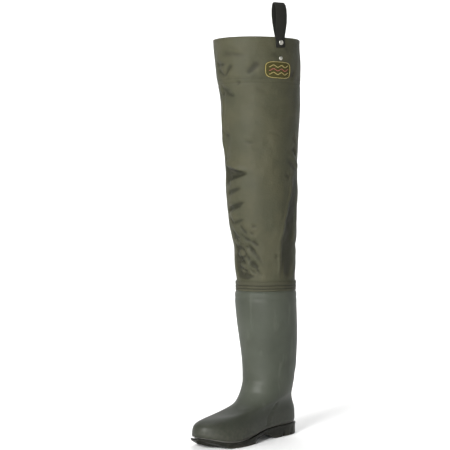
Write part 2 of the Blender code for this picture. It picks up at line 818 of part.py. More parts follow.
def leg_inside(point, angle):
    """The cloth's inner face, one wall inside its outer one."""
    return leg_detail(point, angle) - LEG_WALL


def leg_ring_places():
    """Places of the leg's rings above the collar, evenly spaced in height."""
    low = LEG_SECTIONS[2].back_z
    last = len(LEG_SECTIONS) - 1
    steps = round((RIM_HEIGHT - low) / LEG_RING_STEP)
    places = [leg_place(low + (RIM_HEIGHT - low) * index / steps) for index in range(steps)]
    return places + [last]


def make_leg():
    """The cloth leg: one thin tube from the boot's collar to the hemmed rim."""
    mesh = bmesh.new()
    outer = []
    inner = []
    for place in leg_ring_places():
        outer.append(surface_ring(LEG_SECTIONS, place, leg_detail))
        inner.append(surface_ring(LEG_SECTIONS, place, leg_inside))
    for low, high in zip(outer[-1], inner[-1]):
        high.z = low.z
    collar_rings = [level_ring(section, 0.0) for section in LEG_SECTIONS[:2]]
    inside_rings = [level_ring(section, -LEG_WALL) for section in LEG_SECTIONS[:2]]
    rows = join_rings(mesh, collar_rings + outer + (inside_rings + inner)[::-1])
    close_tube(mesh, rows[0], rows[-1])
    material = plain_material("leg_olive", (0.118, 0.116, 0.074), 0.75)
    return finish_mesh("leg", mesh, material)


def make_seam_band():
    """The stitched band that closes the cloth over the boot's collar."""
    inside = LEG_FIT + CLEARANCE
    bottom = BAND_BOTTOM
    top = BAND_BOTTOM + BAND_HEIGHT
    rows = [
        (bottom, inside),
        (bottom, inside + BAND_THICKNESS - BAND_EDGE),
        (bottom + BAND_EDGE, inside + BAND_THICKNESS),
        (top - BAND_EDGE, inside + BAND_THICKNESS),
        (top, inside + BAND_THICKNESS - BAND_EDGE),
        (top, inside),
    ]
    mesh = bmesh.new()
    rings = [level_ring(collar_section(height), growth) for height, growth in rows]
    joined = join_rings(mesh, rings)
    close_tube(mesh, joined[0], joined[-1])
    material = plain_material("seam_band_olive", (0.10, 0.10, 0.066), 0.7)
    return finish_mesh("seam_band", mesh, material)


def leg_frame(angle, height):
    """Point on the leg's outer face, with its outward direction."""
    place = leg_place(height)
    section = section_at(LEG_SECTIONS, place)
    point = ring_point(section, angle)
    normal = ring_normal(LEG_SECTIONS, place, angle)
    point += normal * leg_detail(point, angle)
    return point, normal


def strap_path():
    """Points of the strap's middle line in its side plane, as (outward, up) from the rim."""
    layer = WEBBING_THICKNESS + CLEARANCE
    inside = CLEARANCE + WEBBING_THICKNESS / 2
    outside = inside + layer
    middle = (inside + outside) / 2
    path = [(inside, -STRAP_TAIL), (inside, -RIVET_DROP), (inside, 0.0)]
    spread = STRAP_OPEN + WEBBING_THICKNESS
    for row in STRAP_ARCH:
        reach = middle + row.reach * spread - row.rise * STRAP_LEAN
        path.append((reach, row.rise * STRAP_RISE))
    path += [(outside, 0.0), (outside, -RIVET_DROP), (outside, -STRAP_TAIL)]
    return path


def strap_half_width(rise):
    """Half of the webbing's width at a height above the rim: gathered at the tail."""
    gathered = smooth_step((rise + STRAP_TAIL) / (STRAP_TAIL + STRAP_GATHER_RISE))
    return (STRAP_TAIL_WIDTH + (WEBBING_WIDTH - STRAP_TAIL_WIDTH) * gathered) / 2


def strap_base(side, half, rise):
    """Where the strap lies at a height from the rim: a point to offset from, and outward."""
    middle, outward = leg_frame(STRAP_ANGLE, RIM_HEIGHT)
    outward = Vector((outward.x, outward.y, 0)).normalized()
    arc = math.hypot(middle.x, middle.y - HEEL_REST + SHAFT_AXIS)
    angle = STRAP_ANGLE + side * half / arc
    if rise <= 0:
        return leg_frame(angle, RIM_HEIGHT + rise)
    round_point = leg_frame(angle, RIM_HEIGHT)[0]
    flat_point = middle + Vector((0, 0, 1)).cross(outward) * side * half
    flat = smooth_step(rise / STRAP_GATHER_RISE)
    return round_point.lerp(flat_point, flat) + Vector((0, 0, rise)), outward


def make_strap(cutter):
    """A loop of webbing that a belt passes through, both ends gathered under the rivet."""
    path = strap_path()
    mesh = bmesh.new()
    rings = []
    last = len(path) - 1
    sides = [-1.0, -0.5, 0.0, 0.5, 1.0]
    for index, (reach, rise) in enumerate(path):
        before = path[max(index - 1, 0)]
        after = path[min(index + 1, last)]
        run = Vector((after[0] - before[0], after[1] - before[1])).normalized()
        across = Vector((-run.y, run.x)) * WEBBING_THICKNESS / 2
        half = strap_half_width(rise)
        ring = []
        for face, order in ((-1, sides), (1, sides[::-1])):
            for side in order:
                point, outward = strap_base(side, half, rise + face * across.y)
                ring.append(point + outward * (reach + face * across.x))
        rings.append(ring)
    rows = join_rings(mesh, rings)
    half_count = len(sides)
    for row in (rows[0], rows[-1]):
        for index in range(half_count - 1):
            facing = 2 * half_count - 1 - index
            mesh.faces.new((row[index], row[index + 1], row[facing - 1], row[facing]))
    material = plain_material("strap_black", (0.022, 0.022, 0.019), 0.8)
    strap = finish_mesh("strap", mesh, material)
    cut_away(strap, cutter)
    return strap


def cut_away(piece, cutter):
    """Takes the cutter's shape out of a piece."""
    cut = piece.modifiers.new("rivet_hole", "BOOLEAN")
    cut.operation = "DIFFERENCE"
    cut.solver = "EXACT"
    cut.object = cutter


def make_hole_cutter(name, drop, radius):
    """A pin across the leg's wall at a drop below the rim, which cuts a rivet's hole."""
    point, normal = leg_frame(STRAP_ANGLE, RIM_HEIGHT - drop)
    mesh = bmesh.new()
    bmesh.ops.create_cone(
        mesh, cap_ends=True, segments=16, radius1=radius, radius2=radius, depth=CUTTER_LENGTH
    )
    data = bpy.data.meshes.new(name)
    mesh.to_mesh(data)
    mesh.free()
    cutter = bpy.data.objects.new(name, data)
    turn = normal.to_track_quat("Z", "Y").to_matrix().to_4x4()
    cutter.matrix_world = Matrix.Translation(point) @ turn
    cutter.hide_render = True
    cutter.display_type = "WIRE"
    bpy.data.collections["cutters"].objects.link(cutter)
    return cutter


def make_rivet(name, drop, head, dome, stack):
    """A turned rivet: domed head, shank through the stack and a washer inside the leg."""
    point, normal = leg_frame(STRAP_ANGLE, RIM_HEIGHT - drop)
    seat = stack + CLEARANCE
    inside = -LEG_WALL - 2 * CLEARANCE
    profile = [(0.0, seat + dome)]
    brim = dome * RIVET_BRIM
    for degrees in (25, 50, 72):
        angle = math.radians(degrees)
        height = seat + brim + (dome - brim) * math.cos(angle)
        profile.append((head * math.sin(angle), height))
    profile += [
        (head, seat + brim),
        (head, seat),
        (RIVET_SHANK, seat),
        (RIVET_SHANK, inside),
        (head * WASHER_SHARE, inside),
        (head * WASHER_SHARE, inside - WASHER_THICKNESS),
        (0.0, inside - WASHER_THICKNESS),
    ]
    mesh = bmesh.new()
    corners = [mesh.verts.new((radius, 0, height)) for radius, height in profile]
    for low, high in zip(corners, corners[1:]):
        mesh.edges.new((low, high))
    data = bpy.data.meshes.new(name)
    mesh.to_mesh(data)
    mesh.free()
    data.materials.append(plain_material(name + "_metal", (0.55, 0.56, 0.50), 0.3, 1.0))
    rivet = bpy.data.objects.new(name, data)
    turned = rivet.modifiers.new("turned", "SCREW")
    turned.steps = RIVET_STEPS
    turned.render_steps = RIVET_STEPS
    turned.use_merge_vertices = True
    turned.merge_threshold = 0.00001
    turn = normal.to_track_quat("Z", "Y").to_matrix().to_4x4()
    rivet.matrix_world = Matrix.Translation(point) @ turn
    bpy.data.collections[COLLECTION_NAME].objects.link(rivet)
    return rivet


def make_patch():
    """A thin sewn patch that follows the leg's curve."""
    middle = RIM_HEIGHT - PATCH_DROP
    segments = 28
    rows = 3
    mesh = bmesh.new()
    radius = leg_frame(PATCH_ANGLE, middle)[0]
    step = math.radians(1)
    beside = leg_frame(PATCH_ANGLE + step, middle)[0]
    arc = (beside - radius).length / step
    fronts = []
    backs = []
    for row in range(rows):
        share = 1 - row / rows
        front = []
        back = []
        for index in range(segments):
            turn = 2 * math.pi * index / segments
            power = 2 / PATCH_SQUARENESS
            right = math.copysign(abs(math.cos(turn)) ** power, math.cos(turn))
            up = math.copysign(abs(math.sin(turn)) ** power, math.sin(turn))
            angle = PATCH_ANGLE + right * share * PATCH_WIDTH / 2 / arc
            height = middle + up * share * PATCH_HEIGHT / 2
            point, normal = leg_frame(angle, height)
            front.append(point + normal * (2 * CLEARANCE + PATCH_THICKNESS))
            back.append(point + normal * 2 * CLEARANCE)
        fronts.append(front)
        backs.append(back)
    joined = join_rings(mesh, backs[::-1] + fronts)
    point, normal = leg_frame(PATCH_ANGLE, middle)
    for ring, height in ((joined[0], 2 * CLEARANCE), (joined[-1], 2 * CLEARANCE + PATCH_THICKNESS)):
        centre = mesh.verts.new(point + normal * height)
        for index in range(segments):
            mesh.faces.new((ring[index], ring[(index + 1) % segments], centre))
    material = plain_material("patch_cloth", (0.16, 0.14, 0.07), 0.7)
    return finish_mesh("patch", mesh, material)


def main():
    for old in list(bpy.data.objects):
        bpy.data.objects.remove(old, do_unlink=True)
    for name in (COLLECTION_NAME, "cutters"):
        collection = bpy.data.collections.new(name)
        bpy.context.scene.collection.children.link(collection)
    make_outsole()
    make_insole()
    make_upper()
    leg = make_leg()
    make_seam_band()
    hole = RIVET_SHANK + CLEARANCE
    rivet_hole = make_hole_cutter("rivet_hole", RIVET_DROP, hole)
    stud_hole = make_hole_cutter("stud_hole", STUD_DROP, hole)
    cut_away(leg, rivet_hole)
    cut_away(leg, stud_hole)
    make_strap(rivet_hole)
    layers = 2 * (WEBBING_THICKNESS + CLEARANCE)
    make_rivet("rivet", RIVET_DROP, RIVET_HEAD, RIVET_DOME, layers)
    make_rivet("stud", STUD_DROP, STUD_HEAD, STUD_DOME, 0.0)
    make_patch()


main()
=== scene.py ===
# %% [markdown]
# # A left hip wader
# A hip wader is a rubber boot with a cloth leg that reaches the hip. The solids of the real
# sizes are loaded first, and every soft or shiny surface is then made around them. Most
# places are a turn round the leg's upright axis, which stands at AXIS_Y, and a height.

# %% Load the solids
import math
from collections import namedtuple

import bmesh
import bpy
import numpy as np
from mathutils import Matrix, Vector, noise
from mathutils.bvhtree import BVHTree


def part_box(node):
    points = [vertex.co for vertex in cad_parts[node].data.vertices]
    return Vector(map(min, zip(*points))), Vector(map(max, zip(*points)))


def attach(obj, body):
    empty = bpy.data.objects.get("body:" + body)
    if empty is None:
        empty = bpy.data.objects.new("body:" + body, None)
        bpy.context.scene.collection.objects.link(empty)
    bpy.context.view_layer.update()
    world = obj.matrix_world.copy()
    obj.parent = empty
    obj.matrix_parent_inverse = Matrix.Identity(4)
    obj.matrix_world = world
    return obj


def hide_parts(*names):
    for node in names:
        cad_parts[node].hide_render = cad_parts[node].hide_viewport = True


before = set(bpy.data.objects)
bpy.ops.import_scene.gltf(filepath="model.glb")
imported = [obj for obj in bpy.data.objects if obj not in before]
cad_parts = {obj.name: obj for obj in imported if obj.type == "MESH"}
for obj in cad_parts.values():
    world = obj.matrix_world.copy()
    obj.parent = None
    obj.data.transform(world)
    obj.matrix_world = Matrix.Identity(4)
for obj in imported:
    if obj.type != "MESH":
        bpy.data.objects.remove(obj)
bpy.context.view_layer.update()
AXIS_Y = -0.060
print("nodes:", ", ".join(sorted(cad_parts)))

# %% [markdown]
# The photograph was taken from knee height, from the toe's outer side. The camera's place
# comes from matching the sole and the rim to the picture, so it is written in real sizes.

# %% Place the camera
IMAGE_SIZE = 450
SENSOR_WIDTH = 36.0
VIEW_TURN = math.radians(38.98)
VIEW_DISTANCE = 2.890
VIEW_HEIGHT = 0.505
FOCAL_LENGTH_PIXELS = 1344.6
AXIS_PIXEL_X = 266.4
HORIZON_PIXEL_Y = 200.5

camera_data = bpy.data.cameras.new("camera")
camera = bpy.data.objects.new("camera", camera_data)
bpy.context.scene.collection.objects.link(camera)
camera.location = (
    VIEW_DISTANCE * math.sin(VIEW_TURN),
    AXIS_Y - VIEW_DISTANCE * math.cos(VIEW_TURN),
    VIEW_HEIGHT,
)
camera.rotation_euler = (math.radians(90), 0, VIEW_TURN)
camera_data.sensor_width = SENSOR_WIDTH
camera_data.lens = SENSOR_WIDTH * FOCAL_LENGTH_PIXELS / IMAGE_SIZE
camera_data.shift_x = (IMAGE_SIZE / 2 - AXIS_PIXEL_X) / IMAGE_SIZE
camera_data.shift_y = (HORIZON_PIXEL_Y - IMAGE_SIZE / 2) / IMAGE_SIZE
bpy.context.scene.camera = camera
print("camera", [round(value, 3) for value in camera.location], "lens", round(camera_data.lens, 1))

# %% [markdown]
# A studio sweep is a floor that curves up into a wall, so that no corner shows. One profile
# is spun round the wader. The paper is the same pale tone all round.

# %% Make the floor sweep
SWEEP_RADIUS = 6.0
SWEEP_CURVE = 1.6
SWEEP_HEIGHT = 5.0
SWEEP_CURVE_STEPS = 12
SWEEP_SPIN_STEPS = 96


def only(piece):
    """Selects one piece alone and makes it active."""
    bpy.ops.object.select_all(action="DESELECT")
    piece.select_set(True)
    bpy.context.view_layer.objects.active = piece


def mesh_piece(name, points, edges=(), faces=()):
    """A new piece from points, edges and faces."""
    mesh = bpy.data.meshes.new(name)
    mesh.from_pydata([tuple(point) for point in points], list(edges), list(faces))
    piece = bpy.data.objects.new(name, mesh)
    bpy.context.scene.collection.objects.link(piece)
    return piece


profile = [(0.0, 0.0)]
for step in range(SWEEP_CURVE_STEPS + 1):
    bend = math.pi / 2 * step / SWEEP_CURVE_STEPS
    out = SWEEP_RADIUS - SWEEP_CURVE + SWEEP_CURVE * math.sin(bend)
    profile.append((out, SWEEP_CURVE * (1 - math.cos(bend))))
profile.append((SWEEP_RADIUS, SWEEP_HEIGHT))
floor = mesh_piece(
    "floor_sweep",
    [(out, AXIS_Y, up) for out, up in profile],
    edges=[(index, index + 1) for index in range(len(profile) - 1)],
)
only(floor)
bpy.ops.object.mode_set(mode="EDIT")
bpy.ops.mesh.select_all(action="SELECT")
bpy.ops.mesh.spin(
    steps=SWEEP_SPIN_STEPS, angle=2 * math.pi, center=(0, AXIS_Y, 0), axis=(0, 0, 1)
)
bpy.ops.mesh.select_all(action="SELECT")
bpy.ops.mesh.remove_doubles(threshold=0.0001)
bpy.ops.mesh.normals_make_consistent(inside=True)
bpy.ops.object.mode_set(mode="OBJECT")
bpy.ops.object.shade_smooth()
print("floor sweep:", len(floor.data.polygons), "faces")

# %% [markdown]
# The main soft light stands on the toe side, so that the outer side falls into shade and the
# folds show. A narrow strip low in front of the camera draws the highlight that runs down the
# boot, a weak light fills the inner side, and one more lights only the backdrop.

# %% Light the studio
LIGHT_FIELDS = "name turn distance height width tall power aim_turn aim_distance aim_height"
Light = namedtuple("Light", LIGHT_FIELDS)
LIGHTS = [
    Light("key_softbox", 14, 3.2, 1.45, 1.1, 1.1, 195, 0, 0, 0.42),
    Light("front_strip", 42, 2.3, 0.19, 0.24, 0.34, 16, 0, 0, 0.30),
    Light("fill_softbox", -80, 3.2, 1.6, 1.6, 1.6, 6, 0, 0, 0.42),
    Light("backdrop_light", 219, 1.4, 3.4, 2.4, 0.8, 230, 219, 5.0, 0.2),
]


def place_at(turn, distance, height):
    """A place at a turn in degrees, 0 at the toe, and a distance from the leg's axis."""
    angle = math.radians(turn)
    return Vector((distance * math.sin(angle), AXIS_Y - distance * math.cos(angle), height))


for light in LIGHTS:
    lamp_data = bpy.data.lights.new(light.name, "AREA")
    lamp_data.shape = "RECTANGLE"
    lamp_data.size = light.width
    lamp_data.size_y = light.tall
    lamp_data.energy = light.power
    lamp = bpy.data.objects.new(light.name, lamp_data)
    bpy.context.scene.collection.objects.link(lamp)
    lamp.location = place_at(light.turn, light.distance, light.height)
    aim = place_at(light.aim_turn, light.aim_distance, light.aim_height)
    lamp.rotation_euler = (aim - lamp.location).to_track_quat("-Z", "Y").to_euler()

WORLD_BRIGHTNESS = 0.10
world = bpy.data.worlds.new("studio")
world.use_nodes = True
world.node_tree.nodes["Background"].inputs["Color"].default_value = (1, 1, 1, 1)
world.node_tree.nodes["Background"].inputs["Strength"].default_value = WORLD_BRIGHTNESS
bpy.context.scene.world = world
bpy.context.scene.view_settings.view_transform = "Standard"
print("lights:", len(LIGHTS))

# %% [markdown]
# Each finish is one Principled shader with nodes that vary its colour, gloss and bumps. The
# helper below keeps the node code short, and all patterns read the piece's own place or UV.

# %% A helper for finishes


def linear(red, green, blue):
    """A colour read off a screen, 0 to 255, as the linear colour that shaders use."""
    return tuple(((value / 255 + 0.055) / 1.055) ** 2.4 for value in (red, green, blue))


class Finish:
    """A material under construction: its shader, its nodes and the place that patterns read."""

    def __init__(self, name, uv=False, **constants):
        self.material = bpy.data.materials.new(name)
        self.material.use_nodes = True
        self.tree = self.material.node_tree
        self.shader = self.tree.nodes["Principled BSDF"]
        coordinates = self.tree.nodes.new("ShaderNodeTexCoord")
        self.place = coordinates.outputs["UV" if uv else "Object"]
        for socket, value in constants.items():
            self.shader.inputs[socket.replace("_", " ")].default_value = value

    def add(self, kind, inputs=None, **settings):
        """A node with its settings; an input is a value or another node's output."""
        made = self.tree.nodes.new(kind)
        for name, value in settings.items():
            setattr(made, name, value)
        for key, value in (inputs or {}).items():
            if isinstance(value, bpy.types.NodeSocket):
                self.tree.links.new(value, made.inputs[key])
            else:
                made.inputs[key].default_value = value
        return made

    def stretched(self, scale):
        """The place, stretched so that a pattern is finer one way than another."""
        inputs = {"Vector": self.place, "Scale": scale}
        return self.add("ShaderNodeMapping", inputs).outputs["Vector"]

    def speckle(self, scale, detail=3.0, place=None):
        """Soft noise from 0 to 1, scale in bumps a metre."""
        inputs = {"Vector": place or self.place, "Scale": scale, "Detail": detail}
        return self.add("ShaderNodeTexNoise", inputs).outputs["Fac"]

    def waves(self, scale, direction, place=None):
        """Straight even waves from 0 to 1, as threads lie."""
        inputs = {"Vector": place or self.place, "Scale": scale}
        made = self.add("ShaderNodeTexWave", inputs, wave_type="BANDS", bands_direction=direction)
        return made.outputs["Fac"]

    def between(self, value, low, high, start=0.0, end=1.0):
        """A value's stretch from start to end, turned into low to high."""
        inputs = {"Value": value, "From Min": start, "From Max": end, "To Min": low, "To Max": high}
        return self.add("ShaderNodeMapRange", inputs).outputs["Result"]

    def product(self, first, second):
        """Two patterns multiplied."""
        return self.add("ShaderNodeMath", {0: first, 1: second}, operation="MULTIPLY").outputs[0]

    def largest(self, first, second):
        """The larger of two patterns."""
        return self.add("ShaderNodeMath", {0: first, 1: second}, operation="MAXIMUM").outputs[0]

    def height(self):
        """The height above the floor, in metres."""
        return self.add("ShaderNodeSeparateXYZ", {"Vector": self.place}).outputs["Z"]

    def blend(self, low, high, factor):
        """A colour between two colours."""
        made = self.add("ShaderNodeMix", {"Factor": factor}, data_type="RGBA")
        for index, color in ((6, low), (7, high)):
            if isinstance(color, bpy.types.NodeSocket):
                self.tree.links.new(color, made.inputs[index])
            else:
                made.inputs[index].default_value = (*color, 1.0)
        return made.outputs[2]

    def bumps(self, *layers):
        """Bump layers, each a pattern and its height in metres, laid over each other."""
        normal = None
        for pattern, depth in layers:
            inputs = {"Height": pattern, "Distance": depth, "Strength": 1.0}
            if normal:
                inputs["Normal"] = normal
            normal = self.add("ShaderNodeBump", inputs).outputs["Normal"]
        self.tree.links.new(normal, self.shader.inputs["Normal"])

    def use(self, **sockets):
        """Links patterns to the shader's sockets and gives the finished material."""
        for socket, pattern in sockets.items():
            self.tree.links.new(pattern, self.shader.inputs[socket.replace("_", " ")])
        return self.material


def dress(piece, material):
    """Gives a piece one material."""
    piece.data.materials.clear()
    piece.data.materials.append(material)


print("finish helper ready")

# %% [markdown]
# Studio paper is matt and almost white. It covers the whole sweep, floor and wall alike.

# %% Finish of the studio paper
paper = Finish("studio_paper", Roughness=0.9)
paper_tone = paper.blend((0.82, 0.82, 0.82), (0.85, 0.85, 0.845), paper.speckle(2.0))
dress(floor, paper.use(Base_Color=paper_tone))
print("floor finish:", floor.data.materials[0].name)

# %% [markdown]
# The moulded boot is soft grey-green PVC: satin, with a fine mould grain, faint cloudy colour,
# dust low down and rubbed streaks. The foot is painted darker than the shaft, as painted
# shade. Grain is a bump, because it is finer than any mesh.

# %% Finish of the moulded boot
pvc = Finish("pvc_grey_green", Coat_Weight=0.02, Coat_Roughness=0.30, Specular_IOR_Level=0.15)
cloudy = pvc.between(pvc.speckle(9.0, 4.0), 0.0, 1.0, 0.35, 0.65)
pvc_tone = pvc.blend(linear(51, 54, 46), linear(62, 65, 57), cloudy)
rubbed = pvc.between(pvc.speckle(60.0, 6.0, pvc.stretched((1.0, 1.0, 0.25))), 0.0, 0.5, 0.58, 0.78)
pvc_tone = pvc.blend(pvc_tone, linear(78, 81, 72), rubbed)
# Painted shade: the foot is painted darker than the shaft, fading out from 50 to 100 mm up.
painted_foot_shade = pvc.between(pvc.height(), 0.80, 0.0, 0.050, 0.100)
pvc_tone = pvc.blend(pvc_tone, linear(34, 36, 30), painted_foot_shade)
low_down = pvc.between(pvc.height(), 0.5, 0.0, 0.010, 0.060)
dust = pvc.product(low_down, pvc.between(pvc.speckle(150.0, 5.0), 0.2, 1.0, 0.40, 0.70))
pvc_tone = pvc.blend(pvc_tone, linear(74, 72, 62), dust)
pvc_gloss = pvc.largest(pvc.between(pvc.speckle(26.0, 4.0), 0.46, 0.56), pvc.between(dust, 0.38, 0.75))
pvc.bumps((pvc.speckle(14.0, 2.0), 0.0010), (pvc.speckle(900.0, 2.0), 0.00006))
pvc_material = pvc.use(Base_Color=pvc_tone, Roughness=pvc_gloss)
print("boot finish:", pvc_material.name)

# %% [markdown]
# Inside, the boot is lined with a grey knit. Its loops are two crossing sets of waves.

# %% Finish of the lining
lining = Finish("knit_lining_grey", Roughness=0.95, Sheen_Weight=0.2)
knit = lining.largest(lining.waves(330.0, "Z"), lining.waves(260.0, "X"))
lining.bumps((knit, 0.0004))
lining_tone = lining.blend(linear(92, 92, 86), linear(128, 127, 118), knit)
lining_material = lining.use(Base_Color=lining_tone)
print("lining finish:", lining_material.name)

# %% [markdown]
# A solid has the true form but flat facets. A copy of it is welded and its triangles are
# joined back into quads, so that it can be smoothed by subdivision. Its points are then moved
# as arrays, which is quick for tens of thousands of them.

# %% Helpers that copy and push a surface
WELD_DISTANCE = 0.00002


def smooth(value):
    """A soft step from 0 to 1, for arrays."""
    value = np.clip(value, 0.0, 1.0)
    return value * value * (3 - 2 * value)


def copy_of(node, name):
    """A welded copy of a node's mesh, with quads where its triangles allow it."""
    piece = bpy.data.objects.new(name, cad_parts[node].data.copy())
    bpy.context.scene.collection.objects.link(piece)
    only(piece)
    bpy.ops.object.mode_set(mode="EDIT")
    bpy.ops.mesh.select_all(action="SELECT")
    bpy.ops.mesh.remove_doubles(threshold=WELD_DISTANCE)
    bpy.ops.mesh.tris_convert_to_quads(
        face_threshold=math.radians(60), shape_threshold=math.radians(80)
    )
    bpy.ops.mesh.normals_make_consistent(inside=False)
    bpy.ops.object.mode_set(mode="OBJECT")
    return piece


def apply_modifier(piece, kind, **settings):
    """Adds a modifier and applies it."""
    only(piece)
    modifier = piece.modifiers.new(kind.lower(), kind)
    for name, value in settings.items():
        setattr(modifier, name, value)
    bpy.ops.object.modifier_apply(modifier=modifier.name)


def subdivide(piece):
    """Smooths a piece by two rounds of subdivision, with its open corners kept."""
    apply_modifier(piece, "SUBSURF", levels=2, render_levels=2, boundary_smooth="PRESERVE_CORNERS")


def points_of(piece):
    """A piece's points and their normals, as arrays of rows."""
    count = len(piece.data.vertices)
    points = np.zeros(count * 3)
    piece.data.vertices.foreach_get("co", points)
    normals = np.zeros(count * 3)
    piece.data.vertices.foreach_get("normal", normals)
    return points.reshape(-1, 3), normals.reshape(-1, 3)


def set_points(piece, points):
    """Moves a piece's points to new places."""
    piece.data.vertices.foreach_set("co", points.ravel())
    piece.data.update()


def polar(points):
    """Turn round the leg's axis in degrees, 0 at the toe, and distance from the axis."""
    across = points[:, 0]
    ahead = AXIS_Y - points[:, 1]
    return np.degrees(np.arctan2(across, ahead)), np.hypot(across, ahead)


def push_in(piece, press):
    """Moves each point of a tube towards the axis by its own amount, in metres."""
    points, _ = points_of(piece)
    _, radii = polar(points)
    outward = np.stack([points[:, 0], points[:, 1] - AXIS_Y, np.zeros(len(points))], axis=1)
    outward /= radii[:, None]
    set_points(piece, points - outward * press[:, None])


PROBE_REACH = 0.3


def probe(tree, turn, height):
    """Where a ray from outside meets a surface: the place, its normal and the way outwards."""
    outward = Vector((math.sin(turn), -math.cos(turn), 0))
    centre = Vector((0, AXIS_Y, height))
    place, normal, _, _ = tree.ray_cast(centre + outward * PROBE_REACH, -outward)
    return place, normal, outward


print("surface helpers ready")

# %% [markdown]
# A crease is a soft line on the surface, from one place to another, with a width and a depth.
# Places are a turn round the leg in degrees and a height in millimetres, so that each line
# can be read off the photograph. It narrows towards its second end, as a fold
# does where it dies out, and has a low lip on one side. A negative depth is a ridge.

# %% How a crease is pressed in
Crease = namedtuple("Crease", "turn_a height_a turn_b height_b width depth")
MILLIMETRE = 0.001
TAPER = 0.4
FADE_START = 0.45
FADE_LENGTH = 0.75
LIP_HEIGHT = 0.35
LIP_PLACE = 1.9
LIP_WIDTH = 1.2


def crease_depth(creases, turns, radii, heights):
    """How deep all the creases press at each point, in metres."""
    total = np.zeros(len(turns))
    for crease in creases:
        middle = (crease.turn_a + crease.turn_b) / 2
        apart = (turns - middle + 180) % 360 - 180
        across = np.radians(apart) * radii
        half = np.radians((crease.turn_b - crease.turn_a) / 2) * radii
        rise = (crease.height_b - crease.height_a) / 2 * MILLIMETRE
        up = heights - (crease.height_a + crease.height_b) / 2 * MILLIMETRE
        length = np.hypot(half, rise) + 1e-6
        along = (across * half + up * rise) / length
        beside = (up * half - across * rise) / length
        width = crease.width * MILLIMETRE * (1 - TAPER * np.clip(along / length, -1, 1))
        fade = 1 - smooth((np.abs(along) / length - FADE_START) / FADE_LENGTH)
        pressed = np.exp(-((beside / width) ** 2)) * fade
        beyond = (beside - LIP_PLACE * width) / (LIP_WIDTH * width)
        lip = LIP_HEIGHT * np.exp(-(beyond**2)) * fade
        total += crease.depth * MILLIMETRE * (pressed - lip)
    return total


def creases(*rows):
    """Creases from rows of turn_a, height_a, turn_b, height_b, width and depth."""
    return [Crease(*row) for row in rows]


print("crease fields:", Crease._fields)

# %% [markdown]
# A worn boot bends across the ankle and the instep, and its shaft has long soft dents. The
# counter line is the groove where the stiff heel part ends. They are given as creases.

# %% Where the boot is creased
BOOT_CREASES = creases(
    (-34, 128, 34, 120, 9.0, 1.6),
    (-30, 104, 32, 99, 8.0, 1.3),
    (30, 140, 92, 116, 8.0, 1.1),
    (26, 236, 62, 214, 14.0, 0.9),
    (60, 252, 110, 240, 13.0, 0.8),
    (110, 150, 170, 118, 9.0, 1.0),
    (-110, 130, -40, 116, 9.0, 1.2),
)
COUNTER_LINE = creases(
    (75, 77, 53, 59.5, 2.4, 2.2),
    (55, 61, 42, 46, 2.4, 2.2),
    (43, 49, 41, 26, 2.4, 2.2),
)
BOOT_TOP = 0.285
print("boot creases:", len(BOOT_CREASES))

# %% [markdown]
# The boot's solid has the true last, the foxing band, the counter, the spur and the collar
# ribs. Its copy is subdivided. The counter's top edge is a sharp step in the solid and a soft
# swelling on the real boot, so the points there are relaxed.

# %% Smooth the moulded boot
HEEL_SIDE_Y = (-0.125, -0.012)
HEEL_SIDE_Z = (0.040, 0.125)
RELAX_ROUNDS = 30

boot = copy_of("upper", "moulded_boot")
subdivide(boot)
points, _ = points_of(boot)
beside_heel = (points[:, 1] > HEEL_SIDE_Y[0]) & (points[:, 1] < HEEL_SIDE_Y[1])
beside_heel &= (points[:, 2] > HEEL_SIDE_Z[0]) & (points[:, 2] < HEEL_SIDE_Z[1])
boot.data.vertices.foreach_set("select", beside_heel)
only(boot)
bpy.ops.object.mode_set(mode="EDIT")
bpy.ops.mesh.select_mode(type="VERT")
bpy.ops.mesh.vertices_smooth(factor=0.5, repeat=RELAX_ROUNDS)
bpy.ops.object.mode_set(mode="OBJECT")
print("boot points relaxed beside the heel:", int(beside_heel.sum()))

# %% [markdown]
# The creases are pressed in along the surface's own normals, on the outside and the lining
# alike, so that the wall keeps its thickness. All but the counter line fade out towards the
# foxing band and the collar. Faces that look at the leg's axis, or low down at the boot
# itself, are lining.

# %% Crease and line the moulded boot
FOXING_TOP = 0.07
CREASE_FADE = 0.02
SHAFT_FOOT = 0.13
LINING_MARGIN = 0.006

points, normals = points_of(boot)
turns, radii = polar(points)
spread = np.stack([points[:, 0], points[:, 1] - AXIS_Y, np.zeros(len(points))], axis=1)
facing = np.where((normals * spread).sum(axis=1) >= 0, 1.0, -1.0)
press = crease_depth(BOOT_CREASES, turns, radii, points[:, 2])
press *= smooth((BOOT_TOP - points[:, 2]) / CREASE_FADE)
press *= smooth((points[:, 2] - FOXING_TOP) / CREASE_FADE)
press += crease_depth(COUNTER_LINE, turns, radii, points[:, 2])
set_points(boot, points - normals * (press * facing)[:, None])
boot.data.shade_smooth()
dress(boot, pvc_material)
boot.data.materials.append(lining_material)
boot_surface = BVHTree.FromObject(boot, bpy.context.evaluated_depsgraph_get())
lining_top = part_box("upper")[1].z - LINING_MARGIN
for face in boot.data.polygons:
    centre = face.center
    if centre.z > SHAFT_FOOT:
        inside = face.normal.dot(centre - Vector((0, AXIS_Y, centre.z))) < 0
    else:
        inside = boot_surface.ray_cast(centre + face.normal * 0.001, face.normal)[0] is not None
    face.material_index = int(inside and centre.z < lining_top)
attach(boot, "root")
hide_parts("upper")
print("boot faces:", len(boot.data.polygons))

# %% [markdown]
# The sole is hard black rubber, greyer where it is scuffed and dusty at its lugs. Both come
# from noise, the dust only in the lowest few millimetres.

